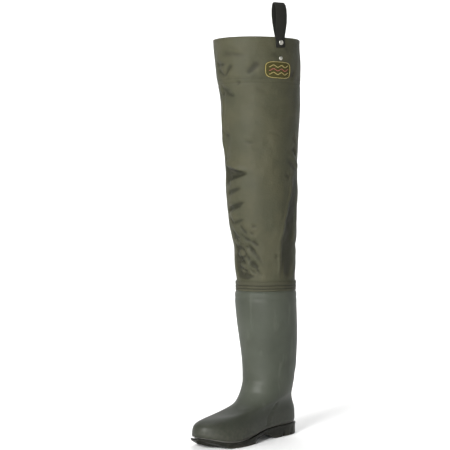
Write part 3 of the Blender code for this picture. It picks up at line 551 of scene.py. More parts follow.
# %% Finish of the outsole
rubber = Finish("sole_rubber_black", Specular_IOR_Level=0.08)
scuffed = rubber.between(rubber.speckle(120.0, 6.0), 0.0, 1.0, 0.50, 0.72)
rubber_tone = rubber.blend(linear(26, 26, 22), linear(44, 44, 38), scuffed)
grounded = rubber.product(
    rubber.between(rubber.height(), 0.8, 0.0, 0.0, 0.007),
    rubber.between(rubber.speckle(260.0, 5.0), 0.0, 1.0, 0.35, 0.65),
)
rubber_tone = rubber.blend(rubber_tone, linear(66, 63, 54), grounded)
rubber.bumps((rubber.speckle(60.0, 3.0), 0.0003), (rubber.speckle(1400.0, 2.0), 0.00008))
rubber_gloss = rubber.between(scuffed, 0.45, 0.75)
rubber_material = rubber.use(Base_Color=rubber_tone, Roughness=rubber_gloss)
print("sole finish:", rubber_material.name)

# %% [markdown]
# The sole's edges are rounded by a bevel, and nothing of it may sink below the floor. The felt
# sock inside the boot keeps its solid's own mesh, because it is flat and hardly seen.

# %% Model the outsole
SOLE_EDGE = 0.0005
SOLE_EDGE_ANGLE = math.radians(34)
SOLE_SHADE_ANGLE = math.radians(38)

sole = copy_of("outsole", "lugged_sole")
apply_modifier(
    sole, "BEVEL", width=SOLE_EDGE, segments=2, limit_method="ANGLE", angle_limit=SOLE_EDGE_ANGLE
)
points, _ = points_of(sole)
points[:, 2] = np.maximum(points[:, 2], 0.0)
set_points(sole, points)
only(sole)
bpy.ops.object.shade_smooth_by_angle(angle=SOLE_SHADE_ANGLE)
dress(sole, rubber_material)
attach(sole, "root")
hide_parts("outsole")

felt = Finish("felt_grey", Roughness=0.95, Sheen_Weight=0.3)
fuzz = felt.speckle(1100.0, 6.0)
felt.bumps((fuzz, 0.0004))
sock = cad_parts["insole"]
dress(sock, felt.use(Base_Color=felt.blend(linear(74, 74, 70), linear(104, 103, 96), fuzz)))
print("sole faces:", len(sole.data.polygons))

# %% [markdown]
# The leg is one panel of coated nylon rolled into a tube and sewn. It starts as a flat grid
# here too, so that its UV map is the flat cloth and the weave runs true. Each point then takes
# the solid's distance from the axis, with the solid's facets smoothed away.

# %% Read a tube's shape from its solid
SHAPE_ROWS = 60
FOOT_MARGIN = 0.0005


def tube_shape(node, columns, heights, waves_kept=16):
    """A solid's outer distance from the axis: a row of columns for each height, smoothed."""
    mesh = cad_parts[node].data
    corners = [vertex.co for vertex in mesh.vertices]
    tree = BVHTree.FromPolygons(corners, [tuple(face.vertices) for face in mesh.polygons])
    rows = []
    for height in heights:
        centre = Vector((0, AXIS_Y, height))
        row = []
        for column in range(columns):
            place, _, _ = probe(tree, 2 * math.pi * column / columns, height)
            row.append((place - centre).length)
        waves = np.fft.rfft(np.array(row))
        waves[waves_kept:] = 0
        rows.append(np.fft.irfft(waves, columns))
    rows = np.array(rows)
    for _ in range(3):
        rows[1:-1] = rows[:-2] * 0.25 + rows[1:-1] * 0.5 + rows[2:] * 0.25
    return rows


def rolled_tube(name, node, columns, rows, rim_of):
    """A flat grid rolled round the axis: its height runs from the solid's foot to a rim."""
    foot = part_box(node)[0].z
    heights = np.linspace(foot + FOOT_MARGIN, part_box(node)[1].z - RIM_MARGIN[node], SHAPE_ROWS)
    shape = tube_shape(node, columns, heights)
    bpy.ops.mesh.primitive_grid_add(x_subdivisions=columns, y_subdivisions=rows, size=1.0)
    piece = bpy.context.active_object
    piece.name = name
    piece.data.name = name
    points, _ = points_of(piece)
    share_round = points[:, 0] + 0.5
    share_up = points[:, 1] + 0.5
    turn = 2 * math.pi * (share_round + SEAM_SHARE)
    height = foot + (rim_of(np.degrees(turn)) - foot) * share_up
    column = (share_round + SEAM_SHARE) * columns
    low = np.floor(column).astype(int) % columns
    high = (low + 1) % columns
    part = column - np.floor(column)
    level = np.clip((height - heights[0]) / (heights[1] - heights[0]), 0, len(heights) - 1.001)
    below = level.astype(int)
    above = level - below
    reach = (shape[below, low] * (1 - part) + shape[below, high] * part) * (1 - above)
    reach += (shape[below + 1, low] * (1 - part) + shape[below + 1, high] * part) * above
    points[:, 0] = reach * np.sin(turn)
    points[:, 1] = AXIS_Y - reach * np.cos(turn)
    points[:, 2] = height
    set_points(piece, points)
    only(piece)
    bpy.ops.object.mode_set(mode="EDIT")
    bpy.ops.mesh.select_all(action="SELECT")
    bpy.ops.mesh.remove_doubles(threshold=WELD_DISTANCE / 2)
    bpy.ops.mesh.normals_make_consistent(inside=False)
    bpy.ops.object.mode_set(mode="OBJECT")
    return piece


SEAM_SHARE = 0.62
RIM_MARGIN = {"leg": 0.0105, "seam_band": 0.0005}
print("tube helpers ready")

# %% [markdown]
# The leg's rim is a plain hem. It is nearly level and droops a little behind the strap, as
# cloth does beside the place where it hangs. The tube is fine enough for folds 3 mm wide.

# %% Roll the leg
LEG_COLUMNS = 192
LEG_ROWS = 196
RIM_FRONT = 0.8430
RIM_BACK = 0.8490
RIM_DROOP = 0.0045
DROOP_TURN = 122
DROOP_REACH = 16


def leg_rim(turn):
    """The rim's height at a turn in degrees: nearly level, with a droop at the outer back."""
    front = (1 + np.cos(np.radians(turn))) / 2
    apart = (turn - DROOP_TURN + 180) % 360 - 180
    droop = RIM_DROOP * np.exp(-((apart / DROOP_REACH) ** 2))
    return RIM_FRONT * front + RIM_BACK * (1 - front) - droop


leg_tube = rolled_tube("cloth_leg", "leg", LEG_COLUMNS, LEG_ROWS, leg_rim)
print("leg tube:", len(leg_tube.data.polygons), "faces")

# %% [markdown]
# The folds are listed one by one, each read off the photograph: soft ones in the hem and the
# thigh, deep pleats in the front, small crossing puckers above the boot and the pressed line
# down the outer side. The folds of the back and the inner side aren't seen and are guessed.

# %% Where the leg is folded
HEM_FOLDS = creases(
    (-18, 790, -3, 787, 5, 1.4),
    (-15, 780, -4, 763, 5, 1.2),
    (5, 789, -4, 762, 5, 1.2),
    (32, 793, 19, 765, 8, 1.3),
    (78, 772, 73, 764, 6, 0.9),
    (12, 752, 8, 744, 5, 0.9),
    (62, 826, 71, 811, 4, 0.8),
    (-15, 752, -19, 660, 2.6, -1.1),
    (-16, 740, 2, 735, 5, 1.0),
    (24, 740, 40, 728, 8, 0.6),
    (46, 812, 52, 800, 6, 0.8),
    (-8, 812, 20, 804, 8, 0.8),
    (84, 780, 78, 762, 6, 1.0),
)
THIGH_FOLDS = creases(
    (-22, 722, -9, 731, 5, 1.3),
    (-9, 731, 5, 721, 5, 1.3),
    (9, 718, 6, 633, 24, 1.6),
    (-17, 700, -20, 600, 12, -1.2),
    (-19, 672, -22, 582, 2.6, -1.1),
    (56, 709, 58, 678, 22, 1.1),
    (30, 700, 34, 590, 22, 0.9),
    (-20, 647, -6, 640, 5, 1.3),
    (13, 629, 25, 623, 4, 0.8),
    (78, 604, 122, 574, 6, -1.3),
    (-19, 600, -23, 570, 6, 1.6),
    (88, 618, 104, 600, 4, 1.1),
    (84, 640, 100, 624, 4, 0.9),
    (40, 648, 60, 640, 4, 0.6),
)
FRONT_PLEATS = creases(
    (74, 592, 116, 562, 6, 1.0),
    (-27, 574, 13, 561, 5, 3.4),
    (-27, 550, 13, 561, 5, 3.0),
    (-29, 562, 6, 561, 8.5, 4.6),
    (-24, 549, -12, 538, 6, 1.7),
    (-20, 520, 6, 531, 5, 1.8),
    (-24, 483, 10, 501, 5, 2.4),
    (-22, 474, 8, 488, 5, -1.5),
    (-14, 456, 9, 466, 4, 1.3),
    (-20, 470, -12, 455, 5, 1.2),
    (70, 560, 84, 552, 5, 0.8),
)
PUCKERS = creases(
    (-1, 453, 12, 434, 4, 1.2),
    (17, 451, 26, 450, 4, 1.0),
    (15, 438, 20, 433, 4, 1.0),
    (-20, 441, -2, 423, 5, 1.7),
    (3, 427, 16, 420, 4, 1.4),
    (15, 421, 27, 409, 4, 1.4),
    (-6, 419, 9, 405, 4, 1.3),
    (-20, 404, -2, 392, 5, 1.5),
    (-1, 392, 11, 381, 4, 1.3),
    (5, 391, 26, 355, 4, 1.4),
    (11, 391, 31, 358, 3.5, 1.0),
    (-12, 392, -14, 356, 13, 1.8),
    (-22, 350, 11, 340, 6, 1.6),
    (54, 389, 67, 387, 4, 0.8),
    (-20, 430, -10, 415, 5, 1.6),
    (-12, 412, 2, 400, 5, 1.7),
    (-22, 412, -8, 400, 6, 1.6),
    (-22, 392, -6, 378, 6, 1.8),
    (-10, 386, 4, 372, 5, 1.5),
    (-22, 376, -8, 362, 6, 1.8),
    (-10, 368, 6, 356, 5, 1.5),
    (-24, 362, -4, 350, 6, 1.8),
    (-6, 352, 14, 345, 5, 1.3),
    (2, 442, 14, 428, 3.5, 0.9),
    (14, 404, 22, 390, 3.5, 0.8),
    (20, 425, 30, 415, 3.5, 0.7),
    (4, 412, 21, 399, 3.5, 1.1),
    (4, 378, 18, 366, 3.5, 1.1),
    (-12, 366, 10, 353, 4, 1.4),
    (-14, 378, 4, 391, 4, 1.3),
    (13, 405, 31, 378, 3, 0.9),
    (-14, 411, -4, 403, 4, 1.2),
    (-4, 378, 10, 362, 4, 1.2),
    (-2, 351, 20, 343, 4, 1.1),
    (-6, 440, 6, 428, 3.2, 1.1),
    (8, 446, 17, 437, 3, 0.9),
    (-14, 428, -3, 412, 3.4, 1.2),
    (9, 413, 20, 396, 3.2, 1.1),
    (-18, 384, -9, 370, 3.4, 1.3),
    (14, 378, 27, 362, 3.2, 1.0),
    (-2, 402, 7, 391, 3.2, 1.1),
    (22, 392, 33, 372, 3, 0.8),
    (-16, 360, -4, 347, 3.4, 1.2),
    (8, 362, 22, 349, 3.2, 1.0),
    (20, 360, 33, 347, 3, 0.8),
    (-12, 400, 4, 386, 3, -1.0),
    (2, 416, 14, 404, 3, -0.9),
    (-18, 424, -6, 410, 3, -0.9),
    (6, 372, 20, 358, 3, -0.9),
    (-10, 372, 2, 360, 3, -0.9),
)
PRESSED_LINE = creases(
    (91, 545, 78, 494, 4, -1.3),
    (80, 500, 70, 458, 4, -1.3),
    (72, 466, 63, 418, 4, -1.3),
    (64, 428, 64, 338, 4, -1.3),
    (108, 560, 96, 494, 16, 1.5),
    (98, 506, 89, 458, 18, 1.5),
    (91, 470, 86, 418, 19, 1.5),
    (87, 434, 88, 332, 20, 1.5),
)
BACK_FOLDS = creases(
    (150, 560, 200, 530, 7, 2.0),
    (-150, 470, -90, 440, 7, 2.2),
    (-120, 400, -60, 375, 6, 1.9),
    (120, 420, 175, 380, 6, 1.8),
    (-80, 640, -35, 610, 8, 1.6),
    (140, 700, 215, 660, 10, 1.4),
)
LEG_CREASES = HEM_FOLDS + THIGH_FOLDS + FRONT_PLEATS + PUCKERS + PRESSED_LINE + BACK_FOLDS
print("leg creases:", len(LEG_CREASES))

# %% [markdown]
# Pressing adds up what moves the cloth: the folds, small random wrinkles, the hem's doubled
# cloth, its two rows of stitches, the rolled rim and the seam down the back. The strap, the
# stud and the patch hold the cloth flat, so it stays calm round them.

# %% How the cloth is pressed
HEM_DEPTH = 0.0916
HEM_STITCH_DROP = (0.0855, 0.0935)
HEM_STEP = 0.0004
CALM_PLACES = ((56, 0.835, 0.026), (56, 0.800, 0.016), (54.8, 0.776, 0.036))
FOLD_STRENGTH = 1.9
WRINKLE_DEPTH = 0.0016
CLOTH_PUFF = 0.0010
PUFF_START = 0.345
PUFF_FADE = 0.030
FOLD_START = 0.337
FOLD_FADE = 0.015
BROAD_WRINKLES = np.array((20, 20, 13))
FINE_WRINKLES = np.array((62, 62, 38))
BROAD_SHARE = 0.5
FINE_SHARE = 0.6
CALM_CORE = 0.75
CALM_EDGE = 0.4
HEM_STEP_FADE = 0.002
STITCH_GROOVE = 0.0011
STITCH_GROOVE_WIDTH = 0.0019
RIM_ROLL = 0.0007
RIM_ROLL_WIDTH = 0.004
BACK_SEAM_HEIGHT = 0.0009
BACK_SEAM_HALF_WIDTH = 0.006
BACK_SEAM_EDGE = 0.0012


def leg_press(points):
    """How far the cloth moves inwards at each point, in metres."""
    turns, radii = polar(points)
    heights = points[:, 2]
    rim = leg_rim(turns)
    press = crease_depth(LEG_CREASES, turns, radii, heights)
    noises = []
    for point in points:
        broad = noise.noise(Vector(point * BROAD_WRINKLES))
        fine = noise.noise(Vector(point * FINE_WRINKLES))
        noises.append(BROAD_SHARE * broad + FINE_SHARE * fine)
    press = press * FOLD_STRENGTH + WRINKLE_DEPTH * np.array(noises)
    calm = smooth((heights - FOLD_START) / FOLD_FADE)
    for turn, height, reach in CALM_PLACES:
        apart = np.hypot(np.radians(turns - turn) * radii, heights - height)
        calm = calm * smooth((apart - reach * CALM_CORE) / (reach * CALM_EDGE))
    press *= calm
    press -= CLOTH_PUFF * smooth((heights - PUFF_START) / PUFF_FADE)
    press -= HEM_STEP * smooth((heights - rim + HEM_DEPTH) / HEM_STEP_FADE)
    for drop in HEM_STITCH_DROP:
        beside = (heights - rim + drop) / STITCH_GROOVE_WIDTH
        press += STITCH_GROOVE * np.exp(-(beside**2)) * calm
    press -= RIM_ROLL * np.exp(-(((heights - rim) / RIM_ROLL_WIDTH) ** 2))
    back_seam = (turns - SEAM_SHARE * 360 + 180) % 360 - 180
    across = np.radians(back_seam) * radii
    seam_edge = (BACK_SEAM_HALF_WIDTH - np.abs(across)) / BACK_SEAM_EDGE
    press -= BACK_SEAM_HEIGHT * smooth(seam_edge) * calm
    return press


print("calm places:", len(CALM_PLACES))

# %% [markdown]
# The folds' depth moves the points, and it is also kept on them as an attribute for painted
# shade: the cloth is painted darker in its folds than soft studio light makes it. Only the
# folds on the side that faces the camera get this painted shade, and the broadest ones stay clear.

# %% Fold the leg
FULL_SHADE_DEPTH = 0.0015
SHADE_START = 0.10
SHADE_RISE = 0.75
BROAD_FOLD = 22
SHADED_TURN = 45
SHADED_REACH = 75

points, _ = points_of(leg_tube)
turns, radii = polar(points)
push_in(leg_tube, leg_press(points))
painted_shade_folds = []
for crease in LEG_CREASES:
    if crease.width < BROAD_FOLD and abs(crease.turn_a - SHADED_TURN) < SHADED_REACH:
        painted_shade_folds.append(crease)
# Painted shade: how deep each point lies in a shaded fold.
painted_fold_shade = crease_depth(painted_shade_folds, turns, radii, points[:, 2]) / FULL_SHADE_DEPTH
attribute = leg_tube.data.attributes.new("painted_fold_shade", "FLOAT", "POINT")
attribute.data.foreach_set("value", smooth((painted_fold_shade - SHADE_START) / SHADE_RISE))
leg_surface = BVHTree.FromObject(leg_tube, bpy.context.evaluated_depsgraph_get())


def on_leg(turn, height, lift=0.0):
    """The place on the folded cloth at a turn in degrees and a height, lifted outwards."""
    place, normal, outward = probe(leg_surface, math.radians(turn), height)
    if normal.dot(outward) < 0:
        normal = -normal
    return place + normal * lift, normal


CLOTH_THICKNESS = 0.0008
apply_modifier(leg_tube, "SOLIDIFY", thickness=CLOTH_THICKNESS, offset=-1.0)
leg_tube.data.shade_smooth()
print("dark folds:", len(painted_shade_folds), "of", len(LEG_CREASES))

# %% [markdown]
# The cloth is a plain weave of olive nylon with a thin coating: satin, smudged and crumpled.
# The weave follows the flat cloth's own UV map, so its threads run along and round the leg.

# %% Dress the leg in nylon
nylon = Finish("coated_nylon_olive", uv=True, Specular_IOR_Level=0.14)
WEFT_THREADS = 620.0
WARP_THREADS = 570.0
threads = nylon.largest(
    nylon.waves(WEFT_THREADS / math.pi / 2, "X"), nylon.waves(WARP_THREADS / math.pi / 2, "Y")
)
smudge = nylon.between(nylon.speckle(11.0, 5.0), 0.0, 1.0, 0.38, 0.62)
nylon_tone = nylon.blend(linear(46, 47, 35), linear(55, 54, 40), smudge)
nylon_tone = nylon.blend(nylon_tone, linear(68, 67, 52), nylon.between(threads, 0.0, 0.35))
painted_fold_shade_mask = nylon.add("ShaderNodeAttribute", attribute_name="painted_fold_shade").outputs["Fac"]
# Painted shade: the cloth is painted darker in the folds on the camera's side.
nylon_tone = nylon.blend(nylon_tone, linear(27, 27, 19), nylon.product(painted_fold_shade_mask, 0.72))
crumple = nylon.speckle(30.0, 4.0)
fine_crumple = nylon.speckle(130.0, 4.0)
nylon.bumps((crumple, 0.0012), (fine_crumple, 0.0004), (threads, 0.00012))
nylon_gloss = nylon.between(nylon.speckle(18.0), 0.52, 0.66)
dress(leg_tube, nylon.use(Base_Color=nylon_tone, Roughness=nylon_gloss))
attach(leg_tube, "root")
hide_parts("leg")
print("leg faces:", len(leg_tube.data.polygons))

# %% [markdown]
# A tape of the same coated cloth closes the leg over the boot's collar. Two pressed grooves
# run round it, and three rows of stitches lie beside them.

# %% Model the band
BAND_ROWS = 28
BAND_THICKNESS = 0.0005
BAND_PUFF = 0.0014
GROOVE_HEIGHTS = (0.3252, 0.3188)
GROOVE_DEPTH = 0.0011
GROOVE_WIDTH = 0.0009
EDGE_DEPTH = 0.0006
EDGE_WIDTH = 0.0011

band_low, band_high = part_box("seam_band")
band = rolled_tube(
    "collar_band", "seam_band", LEG_COLUMNS, BAND_ROWS, lambda turn: turn * 0 + band_high.z
)
points, _ = points_of(band)
press = sum(np.exp(-(((points[:, 2] - height) / GROOVE_WIDTH) ** 2)) for height in GROOVE_HEIGHTS)
press = GROOVE_DEPTH * press
for edge in (band_low.z, band_high.z):
    press += EDGE_DEPTH * np.exp(-(((points[:, 2] - edge) / EDGE_WIDTH) ** 2))
press -= BAND_PUFF
push_in(band, press)
apply_modifier(band, "SOLIDIFY", thickness=BAND_THICKNESS, offset=-1.0)
band.data.shade_smooth()
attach(band, "root")
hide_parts("seam_band")
print("band faces:", len(band.data.polygons))

# %% [markdown]
# The tape is painted darker in its two grooves than on its flat parts, as painted shade.

# %% Finish of the band
GROOVE_SHADE_REACH = 0.0014

tape = Finish("band_tape_olive", Roughness=0.62, Specular_IOR_Level=0.12)
tape_threads = tape.waves(640.0, "Z")
tape.bumps((tape.speckle(700.0, 3.0), 0.00025), (tape_threads, 0.00008))
tape_tone = tape.blend(linear(50, 50, 38), linear(63, 62, 49), tape.speckle(60.0, 4.0))
# Painted shade in each of the two grooves.
for groove in GROOVE_HEIGHTS:
    away = tape.add("ShaderNodeMath", {0: tape.height(), 1: groove}, operation="SUBTRACT").outputs[0]
    away = tape.add("ShaderNodeMath", {0: away}, operation="ABSOLUTE").outputs[0]
    painted_groove_shade = tape.between(away, 0.85, 0.0, 0.0003, GROOVE_SHADE_REACH)
    tape_tone = tape.blend(tape_tone, linear(24, 23, 18), painted_groove_shade)
dress(band, tape.use(Base_Color=tape_tone))
print("band finish:", band.data.materials[0].name)

# %% [markdown]
# A sewn row is many short threads, each fat in its middle, with ends that dip into the cloth.
# One stitch is modelled from a cylinder, and each copy of it gets its own mesh.

# %% Model one stitch
STITCH_LENGTH = 0.0030
STITCH_RADIUS = 0.00034
STITCH_TAPER = 0.35
STITCH_DIP = 0.0003


def one_stitch():
    """A single short thread along X, lying on the XY plane."""
    bpy.ops.mesh.primitive_cylinder_add(vertices=6, radius=STITCH_RADIUS, depth=STITCH_LENGTH)
    stitch = bpy.context.active_object
    only(stitch)
    bpy.ops.object.mode_set(mode="EDIT")
    bpy.ops.mesh.select_all(action="SELECT")
    bpy.ops.mesh.subdivide(number_cuts=1)
    bpy.ops.transform.rotate(value=math.pi / 2, orient_axis="Y", center_override=(0, 0, 0))
    bpy.ops.object.mode_set(mode="OBJECT")
    for vertex in stitch.data.vertices:
        share = abs(vertex.co.x) / (STITCH_LENGTH / 2)
        vertex.co.y *= 1 - STITCH_TAPER * share
        vertex.co.z *= 1 - STITCH_TAPER * share
        vertex.co.z -= STITCH_DIP * share * share
    return stitch


print("stitch length in millimetres:", STITCH_LENGTH / MILLIMETRE)

# %% [markdown]
# Sewing walks along a row and sets a stitch at every pitch, turned along the row and flat on
# the cloth. The walk carries over each corner of the row, so that the pitch stays even.

# %% How a row is sewn


def sew(name, rows, pitch):
    """Stitches copied along rows; a row is a list of (place, normal) round the leg."""
    first = one_stitch()
    copies = []
    for row in rows:
        ring = row + row[:1]
        travelled = 0.0
        for (place, normal), (ahead, _) in zip(ring, ring[1:]):
            run = ahead - place
            while travelled < run.length:
                along = run.normalized()
                side = normal.cross(along).normalized()
                spot = place + along * travelled
                copied = bpy.data.objects.new(name, first.data.copy())
                upright = along.cross(side)
                columns = Matrix((along, side, upright)).transposed()
                copied.data.transform(Matrix.Translation(spot) @ columns.to_4x4())
                bpy.context.scene.collection.objects.link(copied)
                copies.append(copied)
                travelled += pitch
            travelled -= run.length
    bpy.data.objects.remove(first)
    bpy.ops.object.select_all(action="DESELECT")
    for copied in copies:
        copied.select_set(True)
    bpy.context.view_layer.objects.active = copies[0]
    bpy.ops.object.join()
    joined = bpy.context.active_object
    joined.name = name
    joined.data.name = name
    joined.data.shade_smooth()
    return joined, len(copies)


print("sewing helper ready")

# %% [markdown]
# Two rows hold the hem, and three lie beside the band's grooves. Their thread is dark and
# twisted. The leg is one flat sheet of cloth, sewn into a tube, and the hem's thread is on it.

# %% Sew the hem and the band
HEM_PITCH = 0.0039
HEM_ROW_TURNS = range(0, 360, 3)
BAND_PITCH = 0.0036
BAND_ROW_TURNS = range(0, 360, 4)
BAND_STITCH_HEIGHTS = (0.3312, 0.3283, 0.3222)
band_surface = BVHTree.FromObject(band, bpy.context.evaluated_depsgraph_get())


def hem_row(drop):
    """A row round the leg, a drop below the rim."""
    return [on_leg(turn, leg_rim(turn) - drop, 0.0001) for turn in HEM_ROW_TURNS]


def band_row(height):
    """A level row round the band."""
    row = []
    for turn in BAND_ROW_TURNS:
        place, _, outward = probe(band_surface, math.radians(turn), height)
        row.append((place, outward))
    return row


thread = Finish("thread_dark", Roughness=0.7, Specular_IOR_Level=0.10)
thread.bumps((thread.waves(900.0, "DIAGONAL"), 0.0001))
thread_material = thread.use(
    Base_Color=thread.blend(linear(26, 25, 19), linear(36, 35, 28), thread.speckle(400.0))
)
hem_rows = [hem_row(drop) for drop in HEM_STITCH_DROP]
hem_stitches, hem_count = sew("hem_stitches", hem_rows, HEM_PITCH)
band_rows = [band_row(height) for height in BAND_STITCH_HEIGHTS]
band_stitches, band_count = sew("band_stitches", band_rows, BAND_PITCH)
for stitches, slot_name in ((hem_stitches, "leg"), (band_stitches, "seam_band")):
    dress(stitches, thread_material)
    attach(stitches, "root")
print("stitches:", hem_count, "in the hem,", band_count, "in the band")

# %% [markdown]
# The belt strap is a doubled loop of black polyester webbing. Its ribs run across it, and its
# long edges are thicker, as the weave turns back there. The fold at its top ripples a little.

# %% Model the strap
webbing = Finish("webbing_black", Roughness=0.8, Specular_IOR_Level=0.10)
ribs = webbing.waves(210.0, "Z")
webbing.bumps((ribs, 0.0005), (webbing.speckle(1500.0, 3.0), 0.0001))
webbing_tone = webbing.blend(linear(24, 24, 21), linear(42, 42, 38), ribs)

STRAP_TURN = math.radians(56)
STRAP_EDGE = 0.00045
STRAP_EDGE_ANGLE = math.radians(40)
RIPPLE_LENGTH = 0.0068
RIPPLE_HEIGHT = 0.0009
RIPPLE_START = 0.902
RIPPLE_FADE = 0.010

loop = copy_of("strap", "belt_loop")
apply_modifier(
    loop, "BEVEL", width=STRAP_EDGE, segments=2, limit_method="ANGLE", angle_limit=STRAP_EDGE_ANGLE
)
apply_modifier(loop, "SUBSURF", subdivision_type="SIMPLE", levels=2, render_levels=2)
points, _ = points_of(loop)
across = points[:, 0] * math.cos(STRAP_TURN) + (points[:, 1] - AXIS_Y) * math.sin(STRAP_TURN)
ripple = RIPPLE_HEIGHT * np.sin(across / RIPPLE_LENGTH * 2 * math.pi)
points[:, 2] += ripple * smooth((points[:, 2] - RIPPLE_START) / RIPPLE_FADE)
set_points(loop, points)
only(loop)
bpy.ops.object.shade_smooth_by_angle(angle=STRAP_EDGE_ANGLE)
dress(loop, webbing.use(Base_Color=webbing_tone))
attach(loop, "root")
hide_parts("strap")
print("strap faces:", len(loop.data.polygons))

# %% [markdown]
# The rivet and the snap stud are domed nickel, worn to a soft shine with small dull spots.
# Both solids have the dome, so each copy is only smoothed.

# %% Model the rivet and the stud
HEAD_ANGLE = math.radians(45)

metal = Finish("nickel_worn", Metallic=1.0)
tarnish = metal.between(metal.speckle(420.0, 5.0), 0.0, 1.0, 0.42, 0.70)
metal_tone = metal.blend(linear(205, 204, 196), linear(140, 138, 126), tarnish)
metal.bumps((metal.speckle(800.0, 4.0), 0.00004))
metal_gloss = metal.between(tarnish, 0.24, 0.48)
metal_material = metal.use(Base_Color=metal_tone, Roughness=metal_gloss)
for node in ("rivet", "stud"):
    head = copy_of(node, "domed_" + node)
    subdivide(head)
    only(head)
    bpy.ops.object.shade_smooth_by_angle(angle=HEAD_ANGLE)
    dress(head, metal_material)
    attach(head, "root")
    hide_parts(node)
    print(head.name, "faces:", len(head.data.polygons))

# %% [markdown]
# The patch is a plain woven label with rounded corners. It is laid on the folded cloth point
# by point, so that it bends with the leg, and its outermost ring lies lower, as a sewn edge.

# %% Where the patch lies
PATCH_TURN = 54.8
PATCH_CENTRE_HEIGHT = 0.7762
PATCH_HALF_WIDTH = 0.0305
PATCH_HALF_HEIGHT = 0.0172
PATCH_ROUNDNESS = 4.0
PATCH_THICKNESS = 0.0009
PATCH_EDGE_LIFT = 0.0004
patch_centre, _ = on_leg(PATCH_TURN, PATCH_CENTRE_HEIGHT)
patch_radius = (patch_centre - Vector((0, AXIS_Y, PATCH_CENTRE_HEIGHT))).length


def on_patch(across, up, lift):
    """A place on the patch, from its centre, lifted off the cloth."""
    turn = PATCH_TURN + math.degrees(across / patch_radius)
    return on_leg(turn, PATCH_CENTRE_HEIGHT + up, lift)[0]


def patch_edge(angle, share):
    """A place round the patch's outline, at a share of its size."""
    cosine = math.cos(angle)
    sine = math.sin(angle)
    reach = (abs(cosine) ** PATCH_ROUNDNESS + abs(sine) ** PATCH_ROUNDNESS) ** (-1 / PATCH_ROUNDNESS)
    return PATCH_HALF_WIDTH * reach * cosine * share, PATCH_HALF_HEIGHT * reach * sine * share


print("patch width in millimetres:", 2 * PATCH_HALF_WIDTH / MILLIMETRE)

# %% [markdown]
# The patch is a set of rings, one inside another, joined by quads and closed by a fan in the
# middle. Rings follow its outline at any size, which a grid would cut off at the corners.

# %% Model the patch
PATCH_STEPS = 96
RING_SHARES = (1.0, 0.97, 0.88, 0.76, 0.62, 0.46, 0.28, 0.10)
places = []
for share in RING_SHARES:
    for step in range(PATCH_STEPS):
        across, up = patch_edge(2 * math.pi * step / PATCH_STEPS, share)
        places.append(on_patch(across, up, PATCH_THICKNESS if share < 1 else PATCH_EDGE_LIFT))
places.append(on_patch(0, 0, PATCH_THICKNESS))
faces = []
for ring in range(len(RING_SHARES) - 1):
    for step in range(PATCH_STEPS):
        near = ring * PATCH_STEPS
        ahead = (step + 1) % PATCH_STEPS
        faces.append((near + step, near + ahead, near + PATCH_STEPS + ahead, near + PATCH_STEPS + step))
last = (len(RING_SHARES) - 1) * PATCH_STEPS
for step in range(PATCH_STEPS):
    faces.append((last + step, last + (step + 1) % PATCH_STEPS, len(places) - 1))
patch = mesh_piece("plain_patch", places, faces=faces)
only(patch)
bpy.ops.object.mode_set(mode="EDIT")
bpy.ops.mesh.select_all(action="SELECT")
bpy.ops.mesh.normals_make_consistent(inside=False)
bpy.ops.object.mode_set(mode="OBJECT")
patch_out = Vector((math.sin(math.radians(PATCH_TURN)), -math.cos(math.radians(PATCH_TURN)), 0))
if patch.data.polygons[0].normal.dot(patch_out) < 0:
    patch.data.flip_normals()
apply_modifier(patch, "SOLIDIFY", thickness=PATCH_EDGE_LIFT, offset=-1.0)
patch.data.shade_smooth()
woven = Finish("patch_weave_dark", Roughness=0.8, Specular_IOR_Level=0.10)
twill = woven.waves(420.0, "DIAGONAL")
woven.bumps((twill, 0.00015))
dress(patch, woven.use(Base_Color=woven.blend(linear(46, 44, 22), linear(62, 58, 32), twill)))
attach(patch, "root")
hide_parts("patch")
print("patch faces:", len(patch.data.polygons))

# %% [markdown]
# A gold cord runs round the patch's edge, and three sewn waves lie on it, the middle one red.
# Each is a curve with a round section, turned into a mesh.

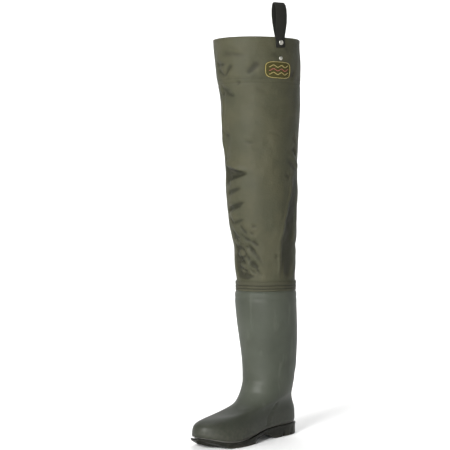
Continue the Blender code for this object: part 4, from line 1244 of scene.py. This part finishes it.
# %% Lay the cords on the patch
CORD_LIFT = 0.0010
EDGE_CORD_SHARE = 0.955
EDGE_CORD_RADIUS = 0.0006
WAVE_CORD_RADIUS = 0.0007
WAVE_HALF_LENGTH = 0.0225
WAVE_HEIGHT = 0.0021
WAVE_COUNT = 2.5
WAVE_STEPS = 48


def cord(name, places, radius, closed):
    """A round cord through places, turned into a mesh."""
    curve = bpy.data.curves.new(name, "CURVE")
    curve.dimensions = "3D"
    curve.bevel_depth = radius
    curve.bevel_resolution = 2
    curve.use_fill_caps = True
    line = curve.splines.new("POLY")
    line.points.add(len(places) - 1)
    for point, place in zip(line.points, places):
        point.co = (*place, 1)
    line.use_cyclic_u = closed
    piece = bpy.data.objects.new(name, curve)
    bpy.context.scene.collection.objects.link(piece)
    only(piece)
    bpy.ops.object.convert(target="MESH")
    piece = bpy.context.active_object
    piece.data.shade_smooth()
    return piece


def cord_finish(name, dark, light):
    """A twisted thread between two tones."""
    made = Finish(name, Roughness=0.55, Sheen_Weight=0.2)
    twist = made.waves(900.0, "DIAGONAL")
    made.bumps((twist, 0.00012))
    return made.use(Base_Color=made.blend(dark, light, twist))


gold = cord_finish("thread_gold", linear(104, 92, 40), linear(160, 146, 74))
red = cord_finish("thread_red", linear(104, 32, 22), linear(150, 50, 34))
edge_places = []
for step in range(PATCH_STEPS):
    across, up = patch_edge(2 * math.pi * step / PATCH_STEPS, EDGE_CORD_SHARE)
    edge_places.append(on_patch(across, up, PATCH_THICKNESS))
trims = [(cord("patch_edge_cord", edge_places, EDGE_CORD_RADIUS, True), gold)]
WAVE_ROWS = (
    ("patch_wave_top", 0.0075, gold),
    ("patch_wave_middle", 0.0, red),
    ("patch_wave_low", -0.0075, gold),
)
for name, middle, finish in WAVE_ROWS:
    wave_places = []
    for step in range(WAVE_STEPS + 1):
        across = WAVE_HALF_LENGTH * (2 * step / WAVE_STEPS - 1)
        up = middle + WAVE_HEIGHT * math.sin(across / WAVE_HALF_LENGTH * math.pi * WAVE_COUNT)
        wave_places.append(on_patch(across, up, CORD_LIFT))
    trims.append((cord(name, wave_places, WAVE_CORD_RADIUS, False), finish))
for piece, finish in trims:
    dress(piece, finish)
    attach(piece, "root")
print("cords on the patch:", len(trims))
